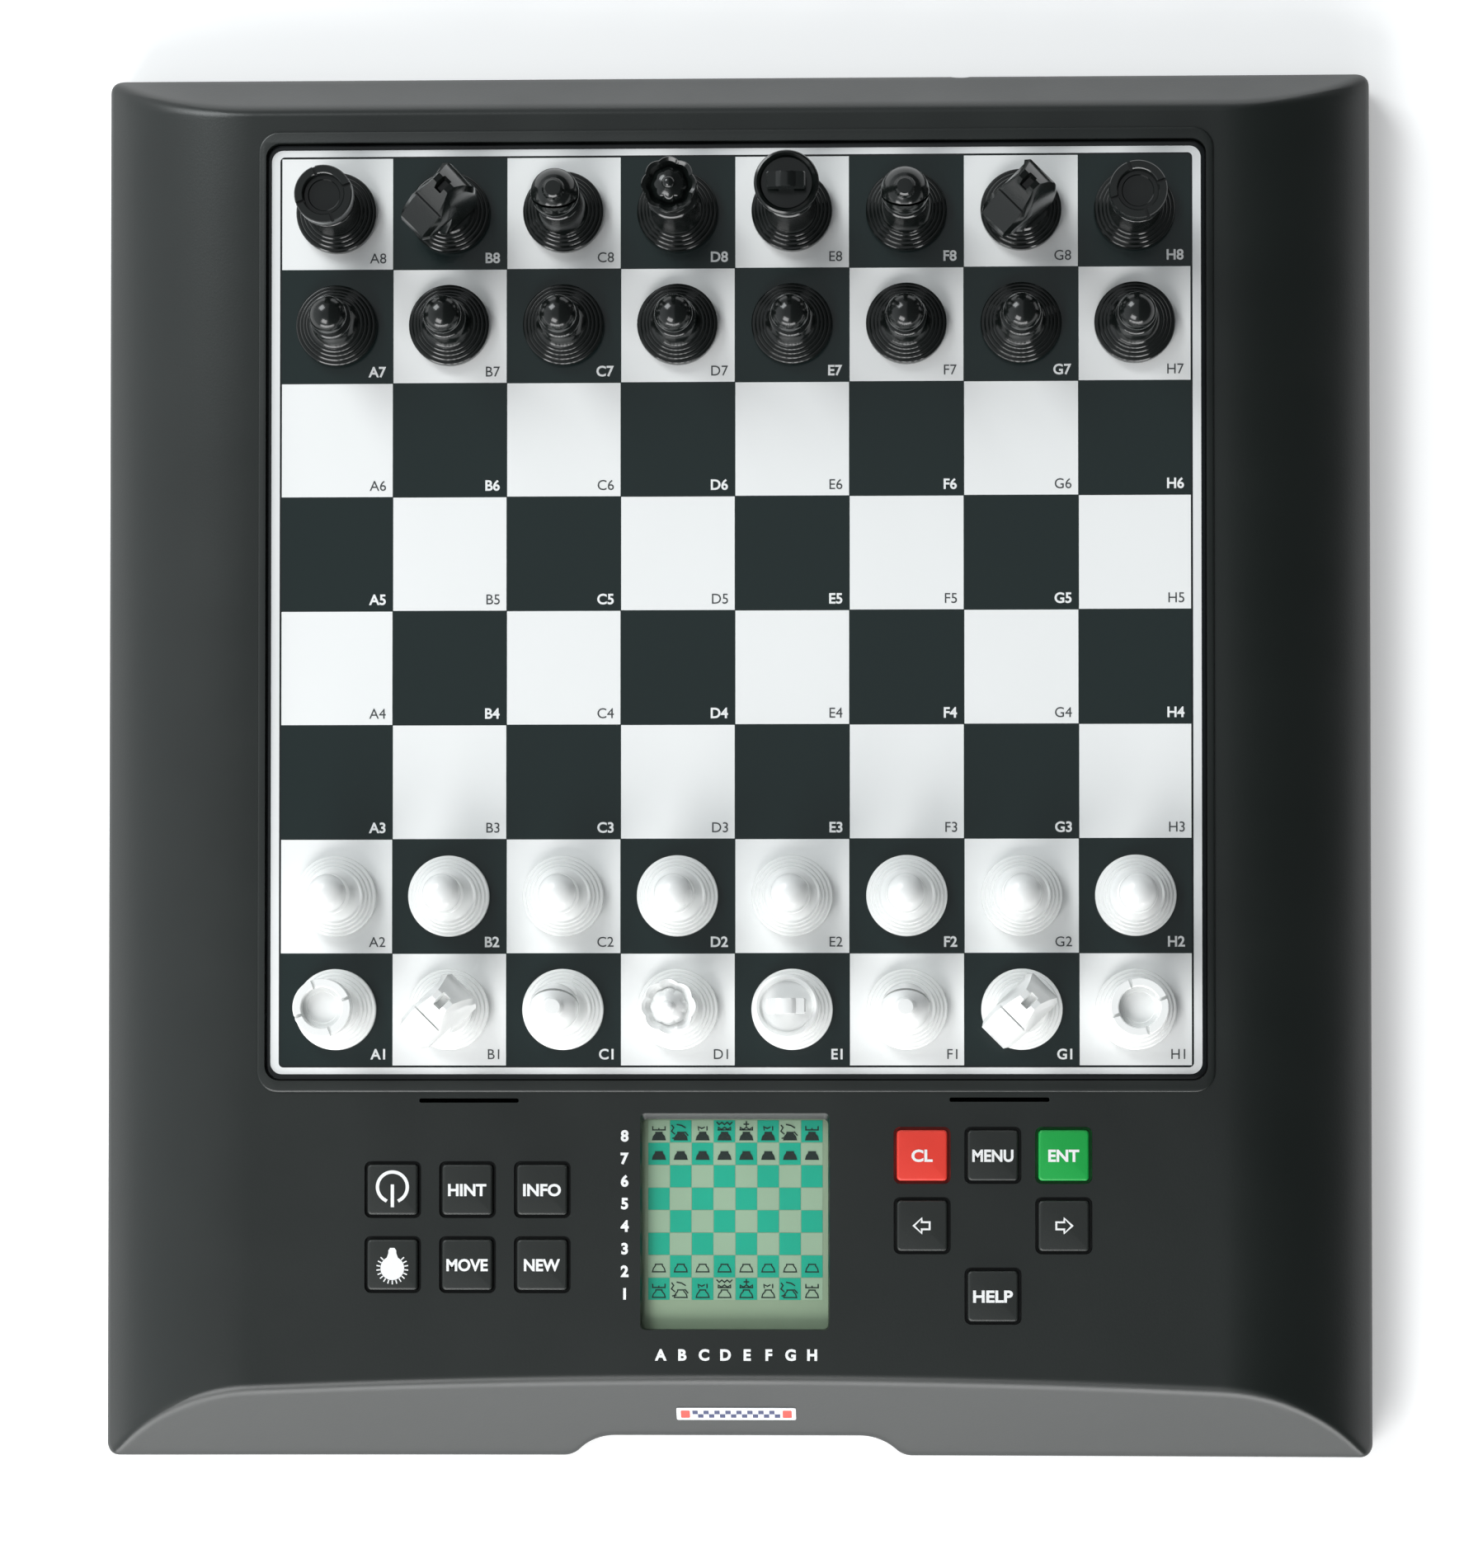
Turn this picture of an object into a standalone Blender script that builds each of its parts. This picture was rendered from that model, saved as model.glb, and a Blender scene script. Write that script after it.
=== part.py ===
"""Electronic chess computer: a flat casing with keys, a display and a sensing board, and 32 chess pieces.

Metres. X runs to the player's right, Y away from the player and Z up. The origin is on the table, under
the middle of the casing.
"""

import math

import bmesh
import bpy
from mathutils import Matrix, Vector

# Casing
WIDTH = 0.290
DEPTH = 0.317
DECK_Z = 0.030
FLOOR_Z = 0.0020
SPLIT_Z = 0.0095
WALL = 0.0020
GAP = 0.0003
CORNER_R = 0.0030
FLAT_HALF_WIDTH = 0.110
SIDE_R = 0.0445
FRONT_RIDGE_Y = -0.1403
FRONT_RIDGE_ARCH = 0.0022
ARCH_HALF_WIDTH = 0.104
FRONT_SLOPE = math.atan(1.10)
BACK_RIDGE_Y = 0.1489
BACK_SLOPE = math.atan(1.88)
BEVEL_OVERRUN = 0.0100
BOTTOM_CHAMFER = 0.0012

# Finger notch in the front edge
NOTCH_OUTER_X = 0.040
NOTCH_INNER_X = 0.028
NOTCH_DEPTH = 0.0048
NOTCH_OUTER_SHARE = 0.31

# Board
BOARD_Y = 0.0342
SQUARE = 0.0260
EDGE_SQUARE = 0.0255
RIM_TOP_Z = 0.0306
RIM_SIZE = (0.2174, 0.2191)
RIM_R = 0.0047
POCKET_SIZE = (0.2140, 0.2138)
POCKET_R = 0.0034
POCKET_FLOOR_Z = 0.0268
TRAY_FLOOR_Z = 0.0250
SENSOR_SIZE = (0.2120, 0.2118)
SENSOR_THICKNESS = 0.0012
OVERLAY_THICKNESS = 0.0004
BOARD_TOP_Z = POCKET_FLOOR_Z + GAP + SENSOR_THICKNESS + GAP + OVERLAY_THICKNESS

# Slots in the deck in front of the board
SLOT_SIZE = (0.0226, 0.0010)
SLOT_CENTRES = ((-0.0604, -0.0772), (0.0599, -0.0770))

# Keys
KEY_CAP = 0.0114
KEY_OPENING = 0.0129
KEY_TOP_Z = 0.0312
KEY_TRAVEL = 0.0012
KEY_FLANGE = 0.0144
KEY_FLANGE_THICKNESS = 0.0012
KEY_STEM = 0.0060
KEY_CENTRES = {
    "key_power": (-0.0777, -0.0974),
    "key_hint": (-0.0607, -0.0974),
    "key_info": (-0.0437, -0.0974),
    "key_light": (-0.0777, -0.1144),
    "key_move": (-0.0607, -0.1144),
    "key_new": (-0.0437, -0.1144),
    "key_clear": (0.0424, -0.0896),
    "key_menu": (0.0584, -0.0896),
    "key_enter": (0.0744, -0.0896),
    "key_left": (0.0424, -0.1055),
    "key_right": (0.0744, -0.1055),
    "key_help": (0.0584, -0.1214),
}

# Display
DISPLAY_Y = -0.1052
DISPLAY_OPENING = (0.0434, 0.0488)
DISPLAY_OPENING_R = 0.0015
WINDOW_SIZE = (0.0470, 0.0520)
WINDOW_THICKNESS = 0.0012
PANEL_SIZE = (0.0455, 0.0505)
PANEL_THICKNESS = 0.0018

# Inside
PCB_BOX = ((-0.1000, -0.1345), (0.1000, -0.0800))
PCB_TOP_Z = 0.0216
PCB_THICKNESS = 0.0016
PCB_POSTS = ((-0.095, -0.129), (0.095, -0.129), (-0.095, -0.086), (0.095, -0.086))
MAT_BOX = ((-0.0870, -0.1290), (0.0840, -0.0820))
MAT_THICKNESS = 0.0008
DOME_TOP_Z = 0.0240
DOME_R = (0.0045, 0.0028)
SPEAKER_CENTRE = (-0.060, -0.054)
SPEAKER_R = 0.018
SPEAKER_HEIGHT = 0.0065
SPEAKER_RIM = 0.0025
MAGNET_R = 0.0090

# Battery bay for six cells side by side, and its door in the underside
BAY_Y = 0.0690
BAY_SIZE = (0.0920, 0.0580)
BAY_TOP_Z = 0.0200
BAY_WALL = 0.0016
LEDGE_TOP_Z = 0.0058
DOOR_SIZE = (0.0960, 0.0620)
DOOR_THICKNESS = 0.0018
DOOR_CLEARANCE = 0.0005
DIMPLE_HALF_WIDTH = 0.0100
DIMPLE_SETBACK = 0.0100
DIMPLE_LENGTH = 0.0070
DIMPLE_RAMP = 0.0030
CELLS = 6
CELL_PITCH = 0.0150
CELL_Z = 0.0125
CONTACT_HALF_WIDTH = 0.0440
CONTACT_HALF_HEIGHT = 0.0065
CONTACT_THICKNESS = 0.0005
SPRING_R = (0.0042, 0.0024)
SPRING_REACH = 0.0035

# Power inlet in the back edge
JACK_X = 0.0513
JACK_WIDTH = 0.0110
JACK_Y = (0.1400, 0.1548)
JACK_Z = (FLOOR_Z + WALL + GAP, 0.0137)
JACK_HOLE_R = 0.0035
JACK_HOLE_START_Y = 0.1552
JACK_BORE_R = 0.0034
JACK_BORE_DEPTH = 0.0110
JACK_PIN_R = 0.0010
JACK_PIN_LENGTH = 0.0055

# Feet and screw bosses
FOOT_R = 0.0060
FOOT_CENTRES = {
    "foot_front_left": (-0.122, -0.136),
    "foot_front_right": (0.122, -0.136),
    "foot_back_left": (-0.122, 0.136),
    "foot_back_right": (0.122, 0.136),
}
BOSS_CENTRES = [(side * 0.118, y) for side in (-1, 1) for y in (-0.112, 0.015, 0.118)]
BOSS_R = 0.0036
SCREW_R = 0.0013
SCREW_TOP_Z = 0.0220
HEAD_R = 0.0032
HEAD_DEPTH = 0.0034

# Chess pieces: half outlines from the base up, as (radius, height)
PIECE_SIDES = 12
FOOT_OF_PIECE = [(0.0092, 0.0), (0.0092, 0.0026), (0.0074, 0.0046)]
PIECE_PROFILES = {
    "pawn": [(0.0056, 0.0075), (0.0036, 0.0150), (0.0049, 0.0170), (0.0030, 0.0180), (0.0043, 0.0218),
             (0.0024, 0.0254), (0.0, 0.0262)],
    "rook": [(0.0060, 0.0080), (0.0048, 0.0215), (0.0065, 0.0250), (0.0065, 0.0325), (0.0045, 0.0325),
             (0.0033, 0.0300), (0.0, 0.0300)],
    "knight": [(0.0066, 0.0072), (0.0052, 0.0095), (0.0, 0.0095)],
    "bishop": [(0.0054, 0.0090), (0.0036, 0.0235), (0.0054, 0.0262), (0.0033, 0.0278), (0.0055, 0.0330),
               (0.0022, 0.0388), (0.0015, 0.0405), (0.0, 0.0405)],
    "queen": [(0.0058, 0.0090), (0.0040, 0.0300), (0.0058, 0.0325), (0.0042, 0.0340), (0.0062, 0.0435),
              (0.0040, 0.0440), (0.0020, 0.0465), (0.0, 0.0475)],
    "king": [(0.0060, 0.0090), (0.0042, 0.0320), (0.0060, 0.0345), (0.0046, 0.0360), (0.0072, 0.0450),
             (0.0068, 0.0462), (0.0, 0.0468)],
}
KING_TAB = (0.0080, 0.0026, 0.0060)
KNIGHT_HEAD = [(-0.0062, 0.0080), (0.0052, 0.0080), (0.0066, 0.0210), (0.0050, 0.0320), (0.0014, 0.0372),
               (-0.0012, 0.0345), (-0.0088, 0.0258), (-0.0082, 0.0215), (-0.0014, 0.0235)]
KNIGHT_HALF_THICKNESS = 0.0040
KNIGHT_TURN = math.radians(45)
BACK_RANK = ("rook", "knight", "bishop", "queen", "king", "bishop", "knight", "rook")
FILES = "abcdefgh"


def clear_scene():
    for obj in list(bpy.data.objects):
        bpy.data.objects.remove(obj, do_unlink=True)


def material(name, colour, roughness, metallic=0.0):
    made = bpy.data.materials.new(name)
    made.use_nodes = True
    shader = made.node_tree.nodes["Principled BSDF"]
    shader.inputs["Base Color"].default_value = (*colour, 1.0)
    shader.inputs["Roughness"].default_value = roughness
    shader.inputs["Metallic"].default_value = metallic
    return made


def make_object(name, bm, colour, roughness=0.4, metallic=0.0, at=(0.0, 0.0, 0.0)):
    bmesh.ops.recalc_face_normals(bm, faces=bm.faces)
    mesh = bpy.data.meshes.new(name)
    bm.to_mesh(mesh)
    bm.free()
    mesh.shade_smooth()
    mesh.set_sharp_from_angle(angle=math.radians(30))
    obj = bpy.data.objects.new(name, mesh)
    obj.location = at
    obj.data.materials.append(material(name, colour, roughness, metallic))
    bpy.context.scene.collection.objects.link(obj)
    return obj


def make_helper(name, bm):
    """A shape that only adds to or cuts another one."""
    helper = make_object(name, bm, (0.5, 0.5, 0.5))
    helper.hide_render = True
    helper.display_type = "WIRE"
    return helper


def combine(obj, other, operation):
    modifier = obj.modifiers.new(operation.title() + " " + other.name, "BOOLEAN")
    modifier.operation = operation
    modifier.object = other


def skin(bm, rings):
    """Joins rings of points into one closed surface. A ring of one point is a pole."""
    rows = [[bm.verts.new(point) for point in ring] for ring in rings]
    for low, high in zip(rows, rows[1:]):
        for i in range(max(len(low), len(high))):
            j = i + 1
            corners = [low[i % len(low)], low[j % len(low)], high[j % len(high)], high[i % len(high)]]
            bm.faces.new(list(dict.fromkeys(corners)))
    for row in (rows[0], rows[-1]):
        if len(row) > 2:
            bm.faces.new(row)


def flat_ring(points, z):
    return [Vector((x, y, z)) for x, y in points]


def prism(bm, points, low, high):
    skin(bm, [flat_ring(points, low), flat_ring(points, high)])


def rounded_rectangle(size, radius, centre=(0.0, 0.0), steps=3):
    points = []
    for corner, (sx, sy) in enumerate(((1, 1), (-1, 1), (-1, -1), (1, -1))):
        cx = centre[0] + sx * (size[0] / 2 - radius)
        cy = centre[1] + sy * (size[1] / 2 - radius)
        for step in range(steps + 1):
            angle = math.radians(90) * (corner + step / steps)
            points.append((cx + radius * math.cos(angle), cy + radius * math.sin(angle)))
    return points


def circle(radius, centre=(0.0, 0.0), sides=12):
    angles = [math.tau * i / sides for i in range(sides)]
    return [(centre[0] + radius * math.cos(angle), centre[1] + radius * math.sin(angle)) for angle in angles]


def add_box(bm, low, high):
    outline = [(low[0], low[1]), (high[0], low[1]), (high[0], high[1]), (low[0], high[1])]
    prism(bm, outline, low[2], high[2])


def add_plate(bm, size, centre, low, high):
    add_box(bm, (centre[0] - size[0] / 2, centre[1] - size[1] / 2, low),
            (centre[0] + size[0] / 2, centre[1] + size[1] / 2, high))


# ---------------------------------------------------------------- casing shape


def notch_side(inset, steps=3):
    """One end of the finger notch, from the front edge inwards: an outward arc and then an inward one."""
    run = NOTCH_OUTER_X - NOTCH_INNER_X
    sweep = 2 * math.atan2(NOTCH_DEPTH, run)
    radii = run / math.sin(sweep)
    outer_r = radii * NOTCH_OUTER_SHARE
    inner_r = radii - outer_r
    points = []
    for step in range(steps + 1):
        angle = sweep * step / steps
        points.append((NOTCH_OUTER_X - (outer_r - inset) * math.sin(angle),
                       -DEPTH / 2 + outer_r - (outer_r - inset) * math.cos(angle)))
    for step in range(1, steps + 1):
        angle = sweep * (1 - step / steps)
        points.append((NOTCH_INNER_X + (inner_r + inset) * math.sin(angle),
                       -DEPTH / 2 + NOTCH_DEPTH - inner_r + (inner_r + inset) * math.cos(angle)))
    return points


def casing_outline(inset=0.0):
    radius = max(CORNER_R - inset, 0.0005)
    points = rounded_rectangle((WIDTH - 2 * inset, DEPTH - 2 * inset), radius)
    side = notch_side(inset)
    left = [(-x, y) for x, y in side]
    return points[:12] + left + side[::-1] + points[12:]


def side_solid(inset):
    """Everything under the deck's crown: flat in the middle, falling in an arc to the left and right edges."""
    arc = []
    reach = math.asin((WIDTH / 2 + 0.003 - FLAT_HALF_WIDTH) / SIDE_R)
    for step in range(7):
        angle = reach * step / 6
        arc.append((FLAT_HALF_WIDTH + (SIDE_R - inset) * math.sin(angle),
                    DECK_Z - SIDE_R + (SIDE_R - inset) * math.cos(angle)))
    arc += [(WIDTH, arc[-1][1]), (WIDTH, -DECK_Z)]
    outline = arc + [(-x, z) for x, z in reversed(arc)]
    bm = bmesh.new()
    skin(bm, [[Vector((x, y, z)) for x, z in outline] for y in (-DEPTH, DEPTH)])
    return bm


def end_solid(inset):
    """Everything under the front and back bevels. The front ridge bows gently forwards at its ends."""
    top = DECK_Z - inset
    far_front = -DEPTH / 2 - BEVEL_OVERRUN
    far_back = DEPTH / 2 + BEVEL_OVERRUN
    rings = []
    for step in range(9):
        x = WIDTH * 0.55 * (step / 4 - 1)
        ridge = FRONT_RIDGE_Y - FRONT_RIDGE_ARCH * (x / ARCH_HALF_WIDTH) ** 2
        front = ridge + inset * math.tan(FRONT_SLOPE / 2)
        back = BACK_RIDGE_Y - inset * math.tan(BACK_SLOPE / 2)
        front_drop = (front - far_front) * math.tan(FRONT_SLOPE)
        back_drop = (far_back - back) * math.tan(BACK_SLOPE)
        outline = [(far_front, top - front_drop), (front, top), (back, top), (far_back, top - back_drop),
                   (far_back, -DECK_Z), (far_front, -DECK_Z)]
        rings.append([Vector((x, y, z)) for y, z in outline])
    bm = bmesh.new()
    skin(bm, rings)
    return bm


def casing_body(name, inset, low, colour=None):
    """The casing's outer shape, or the same shape moved inwards by the wall's thickness."""
    bm = bmesh.new()
    prism(bm, casing_outline(inset), low, DECK_Z + 0.005)
    body = make_object(name, bm, colour, 0.35) if colour else make_helper(name, bm)
    combine(body, make_helper(name + " side limit", side_solid(inset)), "INTERSECT")
    combine(body, make_helper(name + " end limit", end_solid(inset)), "INTERSECT")
    return body


# ---------------------------------------------------------------- casings


def top_casing():
    body = casing_body("top_casing", 0.0, SPLIT_Z + GAP, (0.030, 0.035, 0.034))
    combine(body, casing_body("top casing inside", WALL, 0.0), "DIFFERENCE")
    centre = (0.0, BOARD_Y)
    tray = bmesh.new()
    prism(tray, rounded_rectangle(RIM_SIZE, RIM_R, centre), TRAY_FLOOR_Z, RIM_TOP_Z)
    combine(body, make_helper("board tray", tray), "UNION")
    bosses = bmesh.new()
    for boss in BOSS_CENTRES:
        prism(bosses, circle(BOSS_R, boss, 10), SPLIT_Z + GAP, DECK_Z - WALL + 0.0004)
    combine(body, make_helper("upper bosses", bosses), "UNION")
    combine(body, make_helper("top casing openings", top_openings()), "DIFFERENCE")
    return body


def top_openings():
    """The board's pocket, the display and key openings, the slots, the plug's hole and the screw holes."""
    bm = bmesh.new()
    above = DECK_Z + 0.010
    below = DECK_Z - 0.004
    prism(bm, rounded_rectangle(POCKET_SIZE, POCKET_R, (0.0, BOARD_Y)), POCKET_FLOOR_Z, above)
    prism(bm, rounded_rectangle(DISPLAY_OPENING, DISPLAY_OPENING_R, (0.0, DISPLAY_Y)), below, above)
    for centre in KEY_CENTRES.values():
        prism(bm, rounded_rectangle((KEY_OPENING, KEY_OPENING), 0.0015, centre, 2), below, above)
    for centre in SLOT_CENTRES:
        add_plate(bm, SLOT_SIZE, centre, TRAY_FLOOR_Z - 0.001, above)
    add_plug_hole(bm)
    for boss in BOSS_CENTRES:
        prism(bm, circle(SCREW_R, boss, 8), 0.0, SCREW_TOP_Z)
    return bm


def jack_ring(radius, y, sides=12):
    middle = (JACK_Z[0] + JACK_Z[1]) / 2
    return [Vector((x, y, z)) for x, z in circle(radius, (JACK_X, middle), sides)]


def add_plug_hole(bm):
    """The round hole for the plug, half in each shell. Its top just cuts the foot of the back bevel."""
    skin(bm, [jack_ring(JACK_HOLE_R, y, 16) for y in (JACK_HOLE_START_Y, DEPTH)])


def bottom_casing():
    bm = bmesh.new()
    skin(bm, [flat_ring(casing_outline(BOTTOM_CHAMFER), FLOOR_Z),
              flat_ring(casing_outline(), FLOOR_Z + BOTTOM_CHAMFER), flat_ring(casing_outline(), SPLIT_Z)])
    body = make_object("bottom_casing", bm, (0.022, 0.024, 0.024), 0.55)
    hollow = bmesh.new()
    prism(hollow, casing_outline(WALL), FLOOR_Z + WALL, DECK_Z)
    combine(body, make_helper("bottom casing inside", hollow), "DIFFERENCE")
    added = bmesh.new()
    for boss in BOSS_CENTRES:
        prism(added, circle(BOSS_R + 0.0010, boss, 10), FLOOR_Z + 0.0005, SPLIT_Z)
    for post in PCB_POSTS:
        prism(added, circle(0.0030, post, 8), FLOOR_Z + 0.0005, PCB_TOP_Z - PCB_THICKNESS - GAP)
    ledge = [size + 2 * (DOOR_CLEARANCE + BAY_WALL) for size in DOOR_SIZE]
    walls = [size + 2 * BAY_WALL for size in BAY_SIZE]
    heights = (FLOOR_Z + 0.0005, LEDGE_TOP_Z, LEDGE_TOP_Z, BAY_TOP_Z + BAY_WALL)
    skin(added, [flat_ring(rounded_rectangle(size, 0.0015, (0.0, BAY_Y), 1), z)
                 for size, z in zip((ledge, ledge, walls, walls), heights)])
    combine(body, make_helper("bottom casing posts and bay", added), "UNION")
    combine(body, make_helper("bottom casing openings", bottom_openings()), "DIFFERENCE")
    return body


def bottom_openings():
    bm = bmesh.new()
    door_opening = (DOOR_SIZE[0] + 2 * GAP, DOOR_SIZE[1] + 2 * DOOR_CLEARANCE)
    step = FLOOR_Z + DOOR_THICKNESS + GAP
    outlines = [rounded_rectangle(door_opening, 0.0003, (0.0, BAY_Y), 1)] * 2
    outlines += [rounded_rectangle(BAY_SIZE, 0.0003, (0.0, BAY_Y), 1)] * 2
    skin(bm, [flat_ring(points, z) for points, z in zip(outlines, (0.0, step, step, BAY_TOP_Z))])
    add_plug_hole(bm)
    for boss in BOSS_CENTRES:
        heights = (0.0, FLOOR_Z + HEAD_DEPTH, FLOOR_Z + HEAD_DEPTH, DECK_Z)
        radii = (HEAD_R, HEAD_R, SCREW_R + 0.0003, SCREW_R + 0.0003)
        skin(bm, [flat_ring(circle(r, boss, 10), z) for r, z in zip(radii, heights)])
    return bm


def battery_door():
    """A plate flush with the underside, hinged along its back edge, with a finger dimple near the front."""
    hinge_y = BAY_Y + DOOR_SIZE[1] / 2 - DOOR_THICKNESS / 2
    hinge_z = FLOOR_Z + DOOR_THICKNESS / 2
    half = DOOR_THICKNESS / 2
    front = -(DOOR_SIZE[1] - half)
    section = [(front, -half), (front, half)]
    for step in range(7):
        angle = math.radians(90 - 30 * step)
        section.append((half * math.cos(angle), half * math.sin(angle)))
    bm = bmesh.new()
    skin(bm, [[Vector((x, y, z)) for y, z in section] for x in (-DOOR_SIZE[0] / 2, DOOR_SIZE[0] / 2)])
    door = make_object("battery_door", bm, (0.022, 0.024, 0.024), 0.55, at=(0.0, hinge_y, hinge_z))
    inner = hinge_y + front + DIMPLE_SETBACK
    outer = inner - DIMPLE_LENGTH
    depth_z = hinge_z - 0.0001
    dimple_section = [(outer, 0.0), (inner, 0.0), (inner, hinge_z - half), (outer + DIMPLE_RAMP, depth_z),
                      (outer, depth_z)]
    dimple = bmesh.new()
    sides = (-DIMPLE_HALF_WIDTH, DIMPLE_HALF_WIDTH)
    skin(dimple, [[Vector((x, y, z)) for y, z in dimple_section] for x in sides])
    combine(door, make_helper("door dimple", dimple), "DIFFERENCE")
    return door


# ---------------------------------------------------------------- board, display and keys


def board_layers():
    low = POCKET_FLOOR_Z + GAP
    sensors = bmesh.new()
    outline = rounded_rectangle(SENSOR_SIZE, POCKET_R - 0.001, (0.0, BOARD_Y))
    prism(sensors, outline, low, low + SENSOR_THICKNESS)
    make_object("sensor_board", sensors, (0.02, 0.11, 0.05), 0.5)
    overlay = bmesh.new()
    size = (POCKET_SIZE[0] - 2 * GAP, POCKET_SIZE[1] - 2 * GAP)
    outline = rounded_rectangle(size, POCKET_R - GAP, (0.0, BOARD_Y))
    prism(overlay, outline, BOARD_TOP_Z - OVERLAY_THICKNESS, BOARD_TOP_Z)
    make_object("board_overlay", overlay, (0.035, 0.052, 0.054), 0.12)


def display():
    window_top = DECK_Z - WALL - GAP
    window = bmesh.new()
    outline = rounded_rectangle(WINDOW_SIZE, 0.001, (0.0, DISPLAY_Y), 1)
    prism(window, outline, window_top - WINDOW_THICKNESS, window_top)
    make_object("lcd_window", window, (0.60, 0.75, 0.70), 0.05)
    panel_top = window_top - WINDOW_THICKNESS - GAP
    outline = rounded_rectangle(PANEL_SIZE, 0.001, (0.0, DISPLAY_Y), 1)
    panel = bmesh.new()
    prism(panel, outline, panel_top - PANEL_THICKNESS, panel_top)
    make_object("lcd_panel", panel, (0.10, 0.35, 0.26), 0.25)


def key(name, centre, colour):
    """A cap on a flange, which stops against the deck's underside, and a short stem over its dome."""
    flange_top = DECK_Z - WALL - GAP
    flange_low = flange_top - KEY_FLANGE_THICKNESS
    stem_low = DOME_TOP_Z + KEY_TRAVEL + GAP
    shape = [(KEY_STEM, stem_low), (KEY_STEM, flange_low), (KEY_FLANGE, flange_low), (KEY_FLANGE, flange_top),
             (KEY_CAP, flange_top), (KEY_CAP, KEY_TOP_Z - 0.0004), (KEY_CAP - 0.0008, KEY_TOP_Z)]
    bm = bmesh.new()
    skin(bm, [flat_ring(rounded_rectangle((size, size), 0.0008, steps=1), z) for size, z in shape])
    return make_object(name, bm, colour, 0.45, at=(*centre, 0.0))


def keys():
    colours = {"key_clear": (0.80, 0.08, 0.05), "key_enter": (0.02, 0.39, 0.08)}
    for name, centre in KEY_CENTRES.items():
        key(name, centre, colours.get(name, (0.028, 0.032, 0.030)))


# ---------------------------------------------------------------- inside


def main_pcb():
    bm = bmesh.new()
    add_box(bm, (*PCB_BOX[0], PCB_TOP_Z - PCB_THICKNESS), (*PCB_BOX[1], PCB_TOP_Z))
    make_object("main_pcb", bm, (0.02, 0.13, 0.05), 0.4)


def keypad_mat():
    low = PCB_TOP_Z + GAP
    bm = bmesh.new()
    add_box(bm, (*MAT_BOX[0], low), (*MAT_BOX[1], low + MAT_THICKNESS))
    mat = make_object("keypad_mat", bm, (0.45, 0.45, 0.44), 0.8)
    shape = [(DOME_R[0], low + MAT_THICKNESS / 2), (DOME_R[0], low + MAT_THICKNESS), (DOME_R[1], DOME_TOP_Z)]
    domes = bmesh.new()
    for centre in KEY_CENTRES.values():
        skin(domes, [flat_ring(circle(r, centre, 8), z) for r, z in shape])
    combine(mat, make_helper("keypad domes", domes), "UNION")


def speaker():
    """A magnet below a wide dish, which opens upwards."""
    low = FLOOR_Z + WALL + GAP
    top = low + SPEAKER_HEIGHT
    shape = [(MAGNET_R, low), (MAGNET_R, low + SPEAKER_HEIGHT / 2), (SPEAKER_R, top - SPEAKER_RIM), (SPEAKER_R, top),
             (SPEAKER_R - SPEAKER_RIM, top)]
    rings = [flat_ring(circle(r, sides=16), z) for r, z in shape]
    rings.append([Vector((0.0, 0.0, top - SPEAKER_HEIGHT / 2))])
    bm = bmesh.new()
    skin(bm, rings)
    make_object("speaker", bm, (0.05, 0.05, 0.05), 0.6, at=(*SPEAKER_CENTRE, 0.0))


def dc_jack():
    """A block with a round socket in its outer face, and the contact pin standing in the socket."""
    bm = bmesh.new()
    half = JACK_WIDTH / 2
    add_box(bm, (JACK_X - half, JACK_Y[0], JACK_Z[0]), (JACK_X + half, JACK_Y[1], JACK_Z[1]))
    jack = make_object("dc_jack", bm, (0.02, 0.02, 0.02), 0.4)
    bottom = JACK_Y[1] - JACK_BORE_DEPTH
    shape = [(JACK_PIN_R * 0.5, bottom + JACK_PIN_LENGTH), (JACK_PIN_R, bottom + JACK_PIN_LENGTH - 0.0005),
             (JACK_PIN_R, bottom), (JACK_BORE_R, bottom), (JACK_BORE_R, JACK_Y[1] + 0.002)]
    socket = bmesh.new()
    skin(socket, [jack_ring(radius, y) for radius, y in shape])
    combine(jack, make_helper("jack socket", socket), "DIFFERENCE")


def battery_contacts():
    """A strip on the bay's front wall with a conical spring for each cell."""
    face = BAY_Y - BAY_SIZE[1] / 2 + GAP
    front = face + CONTACT_THICKNESS
    bm = bmesh.new()
    add_box(bm, (-CONTACT_HALF_WIDTH, face, CELL_Z - CONTACT_HALF_HEIGHT),
            (CONTACT_HALF_WIDTH, front, CELL_Z + CONTACT_HALF_HEIGHT))
    strip = make_object("battery_contacts", bm, (0.60, 0.60, 0.58), 0.3, 0.9)
    springs = bmesh.new()
    for cell in range(CELLS):
        x = CELL_PITCH * (cell - (CELLS - 1) / 2)
        root_y = face + CONTACT_THICKNESS / 2
        shape = [(SPRING_R[0], root_y), (SPRING_R[0], front), (SPRING_R[1], face + SPRING_REACH)]
        skin(springs, [[Vector((px, y, pz)) for px, pz in circle(r, (x, CELL_Z), 8)] for r, y in shape])
    combine(strip, make_helper("battery springs", springs), "UNION")


def feet():
    for name, centre in FOOT_CENTRES.items():
        bm = bmesh.new()
        top = FLOOR_Z - GAP
        skin(bm, [flat_ring(circle(r, sides=16), z)
                  for r, z in ((FOOT_R - 0.0005, 0.0), (FOOT_R, 0.0005), (FOOT_R, top))])
        make_object(name, bm, (0.03, 0.03, 0.03), 0.85, at=(*centre, 0.0))


# ---------------------------------------------------------------- chess pieces


def square_centre(column, row):
    """The middle of a square, with columns and rows counted from 0 at the player's left and front."""
    middle = [0.0, 0.0]
    for axis, index in enumerate((column, row)):
        side = 1 if index > 3.5 else -1
        steps = abs(index - 3.5)
        middle[axis] = side * (3 * SQUARE + EDGE_SQUARE / 2 if steps > 3 else steps * SQUARE)
    return middle[0], middle[1] + BOARD_Y


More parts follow.
